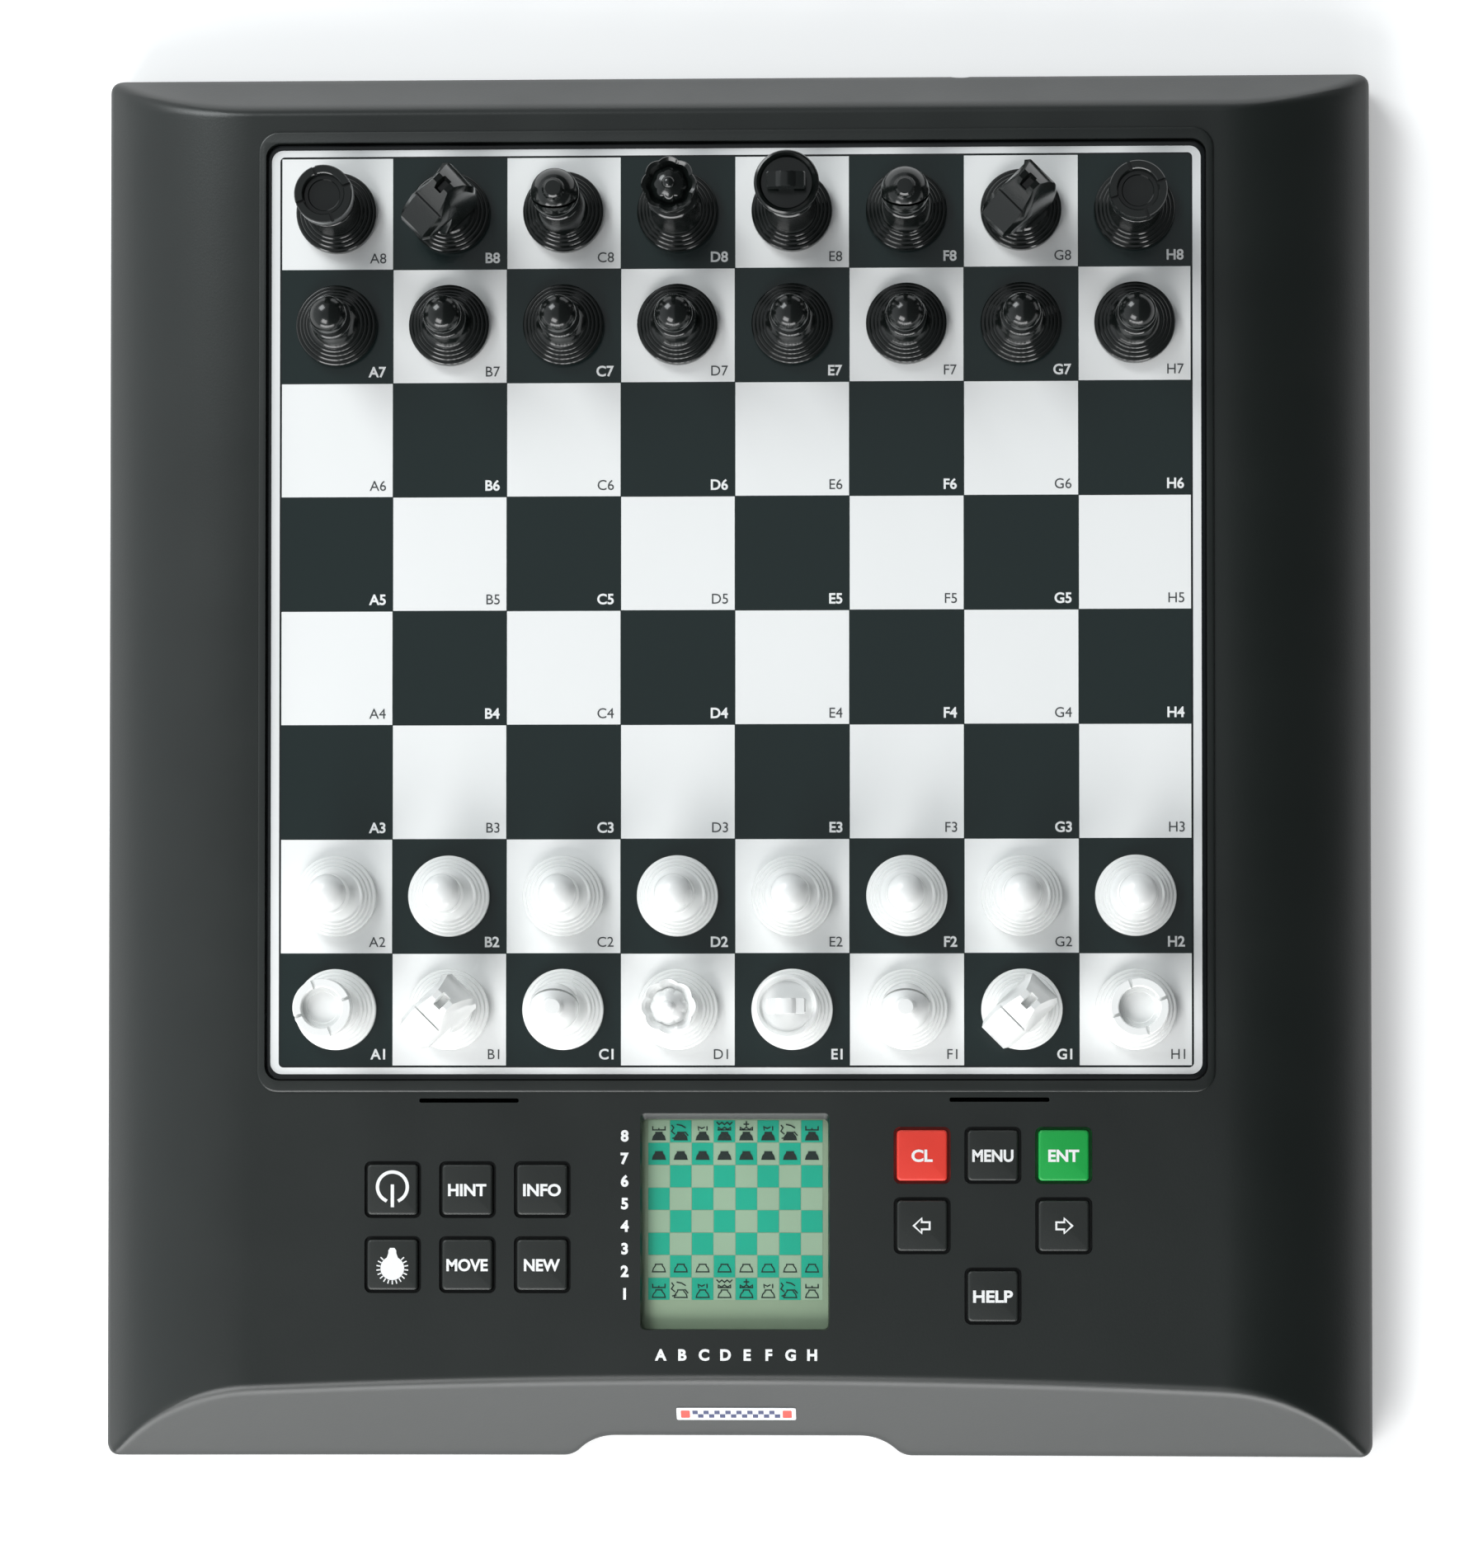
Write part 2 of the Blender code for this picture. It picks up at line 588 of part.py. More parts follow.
def turned_piece(kind):
    bm = bmesh.new()
    rings = []
    for radius, z in FOOT_OF_PIECE + PIECE_PROFILES[kind]:
        ring = flat_ring(circle(radius, sides=PIECE_SIDES), z)
        rings.append(ring if radius > 0 else ring[:1])
    skin(bm, rings)
    return bm


def piece_topping(kind):
    """What stands on the turned part: the king's upright tab or the knight's head."""
    bm = bmesh.new()
    if kind == "king":
        seat = PIECE_PROFILES["king"][-1][1] - 0.0015
        add_plate(bm, KING_TAB[:2], (0.0, 0.0), seat, seat + KING_TAB[2])
    else:
        half = KNIGHT_HALF_THICKNESS
        skin(bm, [[Vector((x, y, z)) for x, z in KNIGHT_HEAD] for y in (-half, half)])
        bmesh.ops.rotate(bm, verts=bm.verts, matrix=Matrix.Rotation(KNIGHT_TURN, 3, "Z"))
    return bm


def chess_piece(colour, kind, column, row):
    name = f"{colour}_{kind}_{FILES[column]}{row + 1}"
    at = (*square_centre(column, row), BOARD_TOP_Z + GAP)
    shade = (0.85, 0.86, 0.85) if colour == "white" else (0.028, 0.033, 0.031)
    piece = make_object(name, turned_piece(kind), shade, 0.25, at=at)
    if kind in ("king", "knight"):
        topping = make_helper(name + " top", piece_topping(kind))
        topping.parent = piece
        combine(piece, topping, "UNION")


def chess_set():
    for colour, home, pawns in (("white", 0, 1), ("black", 7, 6)):
        for column, kind in enumerate(BACK_RANK):
            chess_piece(colour, kind, column, home)
            chess_piece(colour, "pawn", column, pawns)


def build():
    clear_scene()
    top_casing()
    bottom_casing()
    battery_door()
    board_layers()
    display()
    keys()
    main_pcb()
    keypad_mat()
    speaker()
    dc_jack()
    battery_contacts()
    feet()
    chess_set()


build()
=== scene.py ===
import math

import bmesh
import bpy
from mathutils import Matrix, Vector


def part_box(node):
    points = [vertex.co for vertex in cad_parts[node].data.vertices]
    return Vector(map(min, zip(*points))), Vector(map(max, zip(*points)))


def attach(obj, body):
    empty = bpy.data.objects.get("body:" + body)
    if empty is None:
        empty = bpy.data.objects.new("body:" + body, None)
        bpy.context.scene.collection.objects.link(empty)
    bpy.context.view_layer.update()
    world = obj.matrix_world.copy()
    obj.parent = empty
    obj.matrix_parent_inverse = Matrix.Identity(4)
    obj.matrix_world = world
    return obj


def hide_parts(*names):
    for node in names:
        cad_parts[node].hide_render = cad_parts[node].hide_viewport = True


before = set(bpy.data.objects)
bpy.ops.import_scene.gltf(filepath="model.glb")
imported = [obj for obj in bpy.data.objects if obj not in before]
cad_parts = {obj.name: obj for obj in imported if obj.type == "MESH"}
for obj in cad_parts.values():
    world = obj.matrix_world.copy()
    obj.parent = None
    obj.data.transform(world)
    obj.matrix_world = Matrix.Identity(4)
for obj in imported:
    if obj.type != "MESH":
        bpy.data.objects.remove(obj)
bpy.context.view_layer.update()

# Driving sizes in metres, as on the CAD model. X runs to the player's right, Y to the back, Z up.
WIDTH = 0.290
DEPTH = 0.317
DECK_Z = 0.030
FLOOR_Z = 0.0020
SPLIT_Z = 0.0095
GAP = 0.0003
FLAT_HALF_WIDTH = 0.110
SIDE_R = 0.0445
FRONT_RIDGE_Y = -0.1403
FRONT_RIDGE_ARCH = 0.0022
ARCH_HALF_WIDTH = 0.104
FRONT_RISE = 1.10
BACK_RIDGE_Y = 0.1489
BACK_RISE = 1.88
BOARD_Y = 0.0342
SQUARE = 0.0260
EDGE_SQUARE = 0.0255
DISPLAY_Y = -0.1052
KEY_OPENING = 0.0129
BOSS_CENTRES = [(side * 0.118, y) for side in (-1, 1) for y in (-0.112, 0.015, 0.118)]
BOSS_R = 0.0036
PCB_POSTS = [(x, y) for x in (-0.095, 0.095) for y in (-0.129, -0.086)]
NOTCH_OUTER_X = 0.040
NOTCH_INNER_X = 0.028
NOTCH_DEPTH = 0.0048
NOTCH_OUTER_SHARE = 0.31
RIM_SIZE = (0.2174, 0.2191)
RIM_TOP_Z = 0.0306
POCKET_SIZE = (0.2140, 0.2138)
POCKET_FLOOR_Z = 0.0268
SLOT_SIZE = (0.0226, 0.0010)
SLOT_CENTRES = ((-0.0604, -0.0772), (0.0599, -0.0770))
BAY_SIZE = (0.0920, 0.0580)
BAY_TOP_Z = 0.0200
DOOR_STEP_Z = 0.0041
BOTTOM_EDGE_R = 0.0012
TOP_EDGE_R = 0.0010
PLUG_HOLE_R = 0.0035
BADGE_Y = -0.1484
CHECK = 0.00125
KEY_CAP = 0.0114
KEY_EDGE_R = 0.0005
LABEL_HEIGHT = 0.0024
LEGEND_HEIGHT = 0.0027
DECK_LETTER_HEIGHT = 0.0025
DISPLAY_CELL = (0.00497, 0.00511)
DISPLAY_GRID_CORNER = (-0.0199, -0.1225)
PIECE_DROP = 0.00025
FILES = "abcdefgh"
PRINT = 0.00005
ROOT = "casing"

BOARD_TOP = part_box("board_overlay")[1][2]
PIECES = sorted(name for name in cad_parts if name.split("_")[0] in ("white", "black"))
KEYS = sorted(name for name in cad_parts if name.startswith("key_"))


# ---------------------------------------------------------------- materials


def principled(name, colour, roughness, **settings):
    made = bpy.data.materials.new(name)
    made.use_nodes = True
    shader = made.node_tree.nodes["Principled BSDF"]
    shader.inputs["Base Color"].default_value = (*colour, 1.0)
    shader.inputs["Roughness"].default_value = roughness
    for socket, value in settings.items():
        shader.inputs[socket.replace("_", " ")].default_value = value
    return made, shader


def noise(tree, scale, detail):
    coords = tree.nodes.new("ShaderNodeTexCoord")
    texture = tree.nodes.new("ShaderNodeTexNoise")
    texture.inputs["Scale"].default_value = scale
    texture.inputs["Detail"].default_value = detail
    tree.links.new(coords.outputs["Object"], texture.inputs["Vector"])
    return texture


def surface(name, colour, roughness, grain=0.1, grain_size=0.0004, mottle=0.05, streak=0.06, **settings):
    """A moulded or printed surface: fine grain, and faint changes of colour and gloss across it."""
    made, shader = principled(name, colour, roughness, **settings)
    tree = made.node_tree
    fine = noise(tree, 1.0 / grain_size, 2.0)
    bump = tree.nodes.new("ShaderNodeBump")
    bump.inputs["Strength"].default_value = grain
    bump.inputs["Distance"].default_value = grain_size * 0.3
    tree.links.new(fine.outputs["Fac"], bump.inputs["Height"])
    tree.links.new(bump.outputs["Normal"], shader.inputs["Normal"])
    broad = noise(tree, 38.0, 4.0)
    tint = tree.nodes.new("ShaderNodeMix")
    tint.data_type = "RGBA"
    tint.inputs[6].default_value = (*[channel * (1 - mottle) for channel in colour], 1.0)
    tint.inputs[7].default_value = (*[min(1.0, channel * (1 + mottle)) for channel in colour], 1.0)
    tree.links.new(broad.outputs["Fac"], tint.inputs[0])
    tree.links.new(tint.outputs[2], shader.inputs["Base Color"])
    gloss = tree.nodes.new("ShaderNodeMapRange")
    gloss.inputs["From Min"].default_value = 0.3
    gloss.inputs["From Max"].default_value = 0.7
    gloss.inputs["To Min"].default_value = roughness * (1 - streak)
    gloss.inputs["To Max"].default_value = min(1.0, roughness * (1 + streak))
    tree.links.new(broad.outputs["Fac"], gloss.inputs["Value"])
    tree.links.new(gloss.outputs["Result"], shader.inputs["Roughness"])
    return made


def make_materials():
    return {
        "casing": surface("casing plastic", (0.0066, 0.0096, 0.0084), 0.36, 0.10, 0.0005, IOR=1.54),
        "base": surface("base plastic", (0.0125, 0.0135, 0.0135), 0.55, 0.45, 0.0007),
        "margin": surface("board margin", (0.006, 0.008, 0.009), 0.12, 0.02, 0.0020),
        "dark": surface("dark squares", (0.0070, 0.0155, 0.0152), 0.20, 0.04, 0.0012),
        "light": surface("light squares", (0.86, 0.87, 0.865), 0.22, 0.04, 0.0012, 0.01),
        "frame": surface("white frame print", (0.80, 0.81, 0.81), 0.25, 0.04, 0.0012, 0.01),
        "ink": surface("dark grey print", (0.055, 0.060, 0.062), 0.3, 0.03, 0.0010),
        "white_ink": surface("white print", (0.84, 0.85, 0.85), 0.4, 0.03, 0.0008, 0.01),
        "key": surface("key plastic", (0.014, 0.017, 0.0155), 0.42, 0.14, 0.0004),
        "red": surface("red key plastic", (0.76, 0.045, 0.028), 0.42, 0.14, 0.0004),
        "green": surface("green key plastic", (0.004, 0.345, 0.055), 0.42, 0.14, 0.0004),
        "window": clear_window(),
        "lcd": surface("display glass", (0.310, 0.420, 0.282), 0.5, 0.03, 0.0006, 0.04),
        "lcd_light": surface("display pale cell", (0.345, 0.500, 0.345), 0.5, 0.03, 0.0006, 0.03),
        "lcd_teal": surface("display teal cell", (0.003, 0.430, 0.280), 0.5, 0.03, 0.0006, 0.04),
        "lcd_dark": surface("display segment", (0.006, 0.018, 0.014), 0.5, 0.03, 0.0006),
        "white": surface("white piece plastic", (0.84, 0.85, 0.84), 0.26, 0.03, 0.0015, 0.01),
        "black": surface("black piece plastic", (0.0050, 0.0065, 0.0060), 0.17, 0.03, 0.0015),
        "rubber": surface("rubber foot", (0.018, 0.018, 0.018), 0.85, 0.5, 0.0006),
        "silicone": surface("keypad silicone", (0.42, 0.42, 0.40), 0.7, 0.2, 0.0006),
        "board": surface("circuit board", (0.012, 0.10, 0.035), 0.35, 0.15, 0.0010),
        "paper": surface("speaker cone", (0.035, 0.034, 0.032), 0.9, 0.5, 0.0009),
        "steel": surface("plated steel", (0.62, 0.61, 0.58), 0.28, 0.08, 0.0006, Metallic=1.0),
        "screw": surface("blackened screw", (0.10, 0.10, 0.105), 0.35, 0.10, 0.0005, Metallic=1.0),
        "badge": surface("badge plate", (0.78, 0.79, 0.80), 0.3, 0.05, 0.0006, 0.02),
        "badge_blue": surface("badge blue", (0.020, 0.030, 0.11), 0.35, 0.05, 0.0006),
    }


def clear_window():
    made, shader = principled("display window", (0.05, 0.07, 0.06), 0.06, Alpha=0.035)
    tree = made.node_tree
    broad = noise(tree, 60.0, 2.0)
    gloss = tree.nodes.new("ShaderNodeMapRange")
    gloss.inputs["To Min"].default_value = 0.04
    gloss.inputs["To Max"].default_value = 0.09
    tree.links.new(broad.outputs["Fac"], gloss.inputs["Value"])
    tree.links.new(gloss.outputs["Result"], shader.inputs["Roughness"])
    return made


# ---------------------------------------------------------------- mesh helpers


def finish_piece(name, bm, look, body=ROOT, replaces=(), crease=30):
    """Makes an object of the mesh, gives it its material and has it ride on its body."""
    bmesh.ops.recalc_face_normals(bm, faces=bm.faces)
    mesh = bpy.data.meshes.new(name)
    bm.to_mesh(mesh)
    bm.free()
    mesh.shade_smooth()
    mesh.set_sharp_from_angle(angle=math.radians(crease))
    piece = bpy.data.objects.new(name, mesh)
    bpy.context.scene.collection.objects.link(piece)
    piece.data.materials.append(LOOKS[look])
    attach(piece, body)
    if replaces:
        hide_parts(*replaces)
    return piece


def skin(bm, rings):
    """Joins rings of points into one closed surface. A ring of one point is a pole."""
    rows = [[bm.verts.new(point) for point in ring] for ring in rings]
    for low, high in zip(rows, rows[1:]):
        for i in range(max(len(low), len(high))):
            j = i + 1
            corners = [low[i % len(low)], low[j % len(low)], high[j % len(high)], high[i % len(high)]]
            bm.faces.new(list(dict.fromkeys(corners)))
    for row in (rows[0], rows[-1]):
        if len(row) > 2:
            bm.faces.new(row)


def flat_ring(points, z):
    return [Vector((x, y, z)) for x, y in points]


def prism(bm, points, low, high):
    skin(bm, [flat_ring(points, low), flat_ring(points, high)])


def rounded_rectangle(size, radius, centre=(0.0, 0.0), steps=8):
    points = []
    for corner, (sx, sy) in enumerate(((1, 1), (-1, 1), (-1, -1), (1, -1))):
        cx = centre[0] + sx * (size[0] / 2 - radius)
        cy = centre[1] + sy * (size[1] / 2 - radius)
        for step in range(steps + 1):
            angle = math.radians(90) * (corner + step / steps)
            points.append((cx + radius * math.cos(angle), cy + radius * math.sin(angle)))
    return points


def circle(radius, centre=(0.0, 0.0), sides=32):
    angles = [math.tau * i / sides for i in range(sides)]
    return [(centre[0] + radius * math.cos(angle), centre[1] + radius * math.sin(angle)) for angle in angles]


def rectangle(x0, y0, x1, y1):
    return [(x0, y0), (x1, y0), (x1, y1), (x0, y1)]


def box_centre(node):
    low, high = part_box(node)
    return (low[0] + high[0]) / 2, (low[1] + high[1]) / 2


def box_size(node):
    low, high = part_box(node)
    return high[0] - low[0], high[1] - low[1]


def soft_slab(bm, size, radius, centre, low, high, edge, steps=8, bottom_edge=0.0):
    """A plate with rounded corners, whose top edge, and if asked its bottom edge, is rounded too."""
    rings = []
    if bottom_edge:
        for step in range(4):
            angle = math.radians(30 * step)
            inset = bottom_edge * (1 - math.sin(angle))
            rings.append((inset, low + bottom_edge * (1 - math.cos(angle))))
    else:
        rings.append((0.0, low))
    for step in range(5):
        angle = math.radians(22.5 * step)
        rings.append((edge * (1 - math.cos(angle)), high - edge * (1 - math.sin(angle))))

    def outline(inset):
        shrunk = (size[0] - 2 * inset, size[1] - 2 * inset)
        return rounded_rectangle(shrunk, max(radius - inset, 0.00005), centre, steps)
    skin(bm, [flat_ring(outline(inset), z) for inset, z in rings])


def band(bm, outer, inner, low, high):
    """A flat ring between two outlines with the same number of points."""
    rows = [[bm.verts.new(p) for p in flat_ring(points, z)]
            for points, z in ((outer, low), (outer, high), (inner, high), (inner, low))]
    count = len(outer)
    for a, b in zip(rows, rows[1:] + rows[:1]):
        for i in range(count):
            bm.faces.new((a[i], a[(i + 1) % count], b[(i + 1) % count], b[i]))


def cutter_of(bm):
    bmesh.ops.recalc_face_normals(bm, faces=bm.faces)
    mesh = bpy.data.meshes.new("cutter")
    bm.to_mesh(mesh)
    bm.free()
    helper = bpy.data.objects.new("cutter", mesh)
    bpy.context.scene.collection.objects.link(helper)
    return helper


def combine(bm, other, operation="DIFFERENCE"):
    """The first mesh cut by, or joined with, the second, as a new bmesh."""
    base = cutter_of(bm)
    helper = cutter_of(other)
    modifier = base.modifiers.new("combine", "BOOLEAN")
    modifier.operation = operation
    modifier.object = helper
    graph = bpy.context.evaluated_depsgraph_get()
    made = bmesh.new()
    made.from_mesh(base.evaluated_get(graph).to_mesh())
    for obj in (base, helper):
        bpy.data.objects.remove(obj, do_unlink=True)
    return made


def turned(profile, sides=64, wave=None):
    """A surface turned about Z from (radius, height) points. wave changes the radius with the angle."""
    rings = []
    for radius, z in profile:
        if radius < 1e-6:
            rings.append([Vector((0.0, 0.0, z))])
            continue
        ring = []
        for i in range(sides):
            angle = math.tau * i / sides
            reach = radius * (wave(angle, z) if wave else 1.0)
            ring.append(Vector((reach * math.cos(angle), reach * math.sin(angle), z)))
        rings.append(ring)
    bm = bmesh.new()
    skin(bm, rings)
    return bm


def letter_mesh(text, height, weight):
    """The text's mesh, centred on the origin and lying in the XY plane. weight thickens the strokes."""
    curve = bpy.data.curves.new("lettering", "FONT")
    curve.body = text
    curve.align_x = "CENTER"
    curve.size = height / 0.729
    curve.offset = weight
    curve.extrude = PRINT / 2
    curve.resolution_u = 4
    holder = bpy.data.objects.new("lettering", curve)
    bpy.context.scene.collection.objects.link(holder)
    bpy.context.view_layer.update()
    graph = bpy.context.evaluated_depsgraph_get()
    mesh = bpy.data.meshes.new_from_object(holder.evaluated_get(graph))
    bpy.data.objects.remove(holder, do_unlink=True)
    low = min(v.co.x for v in mesh.vertices)
    high = max(v.co.x for v in mesh.vertices)
    mesh.transform(Matrix.Translation((-(low + high) / 2, -height / 2, 0.0)))
    return mesh, high - low


def write(bm, text, x, y, z, height, weight=0.0, width=None, right=False):
    """Adds lettering centred at (x, y), or ending at x. width squeezes it to that width."""
    mesh, natural = letter_mesh(text, height, weight)
    squeeze = width / natural if width else 1.0
    if right:
        x -= natural * squeeze / 2
    mesh.transform(Matrix.Translation((x, y, z)) @ Matrix.Diagonal((squeeze, 1.0, 1.0, 1.0)))
    bm.from_mesh(mesh)
    bpy.data.meshes.remove(mesh)


def stroke(bm, points, width, z, closed=False):
    """A printed line of even width, as one flat ribbon with mitred joints."""
    half = width / 2
    count = len(points)
    left = []
    right = []
    for i, point in enumerate(points):
        ways = []
        if closed or i > 0:
            ways.append((Vector(point) - Vector(points[i - 1])).normalized())
        if closed or i < count - 1:
            ways.append((Vector(points[(i + 1) % count]) - Vector(point)).normalized())
        normals = [Vector((-way.y, way.x)) for way in ways]
        mitre = (normals[0] + normals[-1]) / max(1.0 + normals[0].dot(normals[-1]), 0.6)
        end = Vector(point)
        if not closed and i == 0:
            end -= ways[0] * half
        if not closed and i == count - 1:
            end += ways[-1] * half
        left.append(tuple(end + mitre * half))
        right.append(tuple(end - mitre * half))
    if closed:
        band(bm, left, right, z - PRINT / 2, z + PRINT / 2)
    else:
        prism(bm, left + right[::-1], z - PRINT / 2, z + PRINT / 2)


# ---------------------------------------------------------------- casing


def outline_side(steps=10):
    """One end of the finger notch, from the front edge inwards."""
    run = NOTCH_OUTER_X - NOTCH_INNER_X
    sweep = 2 * math.atan2(NOTCH_DEPTH, run)
    radii = run / math.sin(sweep)
    outer_r = radii * NOTCH_OUTER_SHARE
    inner_r = radii - outer_r
    points = []
    for step in range(steps + 1):
        angle = sweep * step / steps
        points.append((NOTCH_OUTER_X - outer_r * math.sin(angle),
                       -DEPTH / 2 + outer_r * (1 - math.cos(angle))))
    for step in range(1, steps + 1):
        angle = sweep * (1 - step / steps)
        points.append((NOTCH_INNER_X + inner_r * math.sin(angle),
                       -DEPTH / 2 + NOTCH_DEPTH - inner_r * (1 - math.cos(angle))))
    return points


def casing_outline(spacing=0.0025):
    """The casing's outline with the finger notch, as evenly spaced points with finer ones at the corners."""
    corners = rounded_rectangle((WIDTH, DEPTH), 0.003, steps=8)
    side = outline_side()
    left = [(-x, y) for x, y in side]
    points = corners[:27] + left + side[::-1] + corners[27:]
    filled = []
    for (x0, y0), (x1, y1) in zip(points, points[1:] + points[:1]):
        pieces = max(1, math.ceil(math.hypot(x1 - x0, y1 - y0) / spacing))
        filled += [(x0 + (x1 - x0) * i / pieces, y0 + (y1 - y0) * i / pieces) for i in range(pieces)]
    return filled


def soft_min(a, b, blend):
    overlap = max(blend - abs(a - b), 0.0) / blend
    return min(a, b) - overlap * overlap * blend / 4


def deck_height(x, y):
    """The crowned deck with its front and back bevels. The ridges between them are softly rounded."""
    reach = max(abs(x) - FLAT_HALF_WIDTH, 0.0)
    side = DECK_Z - SIDE_R + math.sqrt(SIDE_R ** 2 - reach ** 2)
    ridge = FRONT_RIDGE_Y - FRONT_RIDGE_ARCH * (x / ARCH_HALF_WIDTH) ** 2
    front = DECK_Z + (y - ridge) * FRONT_RISE
    back = DECK_Z - (y - BACK_RIDGE_Y) * BACK_RISE
    return soft_min(soft_min(side, front, 0.0016), back, 0.0030)


def casing_top_shell():
    """Rings that run from the outline inwards to the flat middle of the deck, and one face across that."""
    outline = casing_outline()
    edge_r = TOP_EDGE_R
    inner = [(max(-0.108, min(0.108, x)), max(-0.136, min(0.146, y))) for x, y in outline]
    insets = [edge_r * (1 - math.cos(math.radians(18 * step))) for step in range(6)]
    shares = [i / 20 for i in range(1, 12)] + [0.55 + i / 60 for i in range(1, 22)] + [0.94, 1.0]
    rings = [flat_ring(outline, SPLIT_Z + GAP)]
    for inset in insets:
        ring = []
        for (x, y), (ix, iy) in zip(outline, inner):
            share = inset / math.hypot(ix - x, iy - y)
            px = x + (ix - x) * share
            py = y + (iy - y) * share
            drop = edge_r - math.sqrt(max(edge_r ** 2 - (edge_r - inset) ** 2, 0.0))
            ring.append(Vector((px, py, max(deck_height(px, py) - drop * 0.5, SPLIT_Z + GAP + 0.0001))))
        rings.append(ring)
    for portion in shares:
        ring = []
        for (x, y), (ix, iy) in zip(outline, inner):
            start = edge_r / math.hypot(ix - x, iy - y)
            share = start + (1 - start) * portion
            px = x + (ix - x) * share
            py = y + (iy - y) * share
            ring.append(Vector((px, py, deck_height(px, py))))
        rings.append(ring)
    bm = bmesh.new()
    skin(bm, rings)
    bmesh.ops.remove_doubles(bm, verts=bm.verts, dist=1e-6)
    return bm


def frustum(bm, low_rect, high_rect, z_levels):
    """A hollow's shape: upright up to the second level and then drawn in to the second rectangle."""
    skin(bm, [flat_ring(rectangle(*rect), z) for rect, z in zip((low_rect, low_rect, high_rect), z_levels)])


def along_jack(profile, sides=40):
    """A turned shape lying along Y on the power inlet's axis."""
    low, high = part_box("dc_jack")
    part = turned(profile, sides)
    bmesh.ops.rotate(part, verts=part.verts, matrix=Matrix.Rotation(math.radians(-90), 3, "X"))
    bmesh.ops.translate(part, verts=part.verts, vec=((low[0] + high[0]) / 2, 0.0, (low[2] + high[2]) / 2))
    return part


def plug_hole():
    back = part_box("dc_jack")[1][1]
    start = back + 0.0004
    return along_jack([(0.0, start), (PLUG_HOLE_R, start), (PLUG_HOLE_R, DEPTH), (0.0, DEPTH)], 48)


def make_top_casing():
    shell = casing_top_shell()
    hollow = bmesh.new()
    frustum(hollow, (-0.1415, -0.1515, 0.1415, 0.1535), (-0.122, -0.139, 0.122, 0.144), (0.0, 0.0125, 0.0240))
    shell = combine(shell, hollow)
    rim = bmesh.new()
    soft_slab(rim, RIM_SIZE, 0.0047, (0.0, BOARD_Y), 0.0262, RIM_TOP_Z, 0.0005)
    shell = combine(shell, rim, "UNION")
    openings = bmesh.new()
    above = DECK_Z + 0.010
    prism(openings, rounded_rectangle(POCKET_SIZE, 0.0034, (0.0, BOARD_Y)), POCKET_FLOOR_Z, above)
    wells = bmesh.new()
    for name in KEYS:
        centre = box_centre(name)
        prism(openings, rounded_rectangle((KEY_OPENING, KEY_OPENING), 0.0015, centre), 0.0270, above)
        prism(wells, rounded_rectangle((0.0150, 0.0150), 0.0010, centre, 3), 0.0200, 0.0280)
    levels = ((0.0422, 0.0476, 0.0, 0.0270), (0.0422, 0.0476, 0.0, 0.0286), (0.0425, 0.0482, 0.0003, 0.0293),
              (0.0430, 0.0492, 0.0006, 0.0301), (0.0430, 0.0492, 0.0006, above))
    skin(openings, [flat_ring(rounded_rectangle((w, d), 0.0012, (0.0, DISPLAY_Y + shift)), z)
                    for w, d, shift, z in levels])
    prism(wells, rounded_rectangle((0.0478, 0.0528), 0.0008, (0.0, DISPLAY_Y), 3), 0.0200, 0.0279)
    for centre in SLOT_CENTRES:
        prism(openings, rounded_rectangle(SLOT_SIZE, 0.0004, centre, 4), 0.0200, above)
    shell = combine(shell, openings)
    shell = combine(shell, wells)
    shell = combine(shell, plug_hole())
    finish_piece("top_casing_shell", shell, "casing", replaces=["top_casing"], crease=32)
    posts = bmesh.new()
    for centre in BOSS_CENTRES:
        band(posts, circle(BOSS_R, centre), circle(0.0013, centre), SPLIT_Z + GAP, 0.0262)
    finish_piece("top_casing_bosses", posts, "casing")


def bottom_rings():
    """The lower shell's rounded bottom edge and its upright side."""
    outline = casing_outline(0.008)
    rings = []
    for step in range(5):
        angle = math.radians(22.5 * step)
        inset = BOTTOM_EDGE_R * (1 - math.sin(angle))
        z = FLOOR_Z + BOTTOM_EDGE_R * (1 - math.cos(angle))
        shrink_x = 1 - inset / (WIDTH / 2)
        shrink_y = 1 - inset / (DEPTH / 2)
        rings.append([Vector((x * shrink_x, y * shrink_y, z)) for x, y in outline])
    rings.append(flat_ring(outline, SPLIT_Z))
    return rings


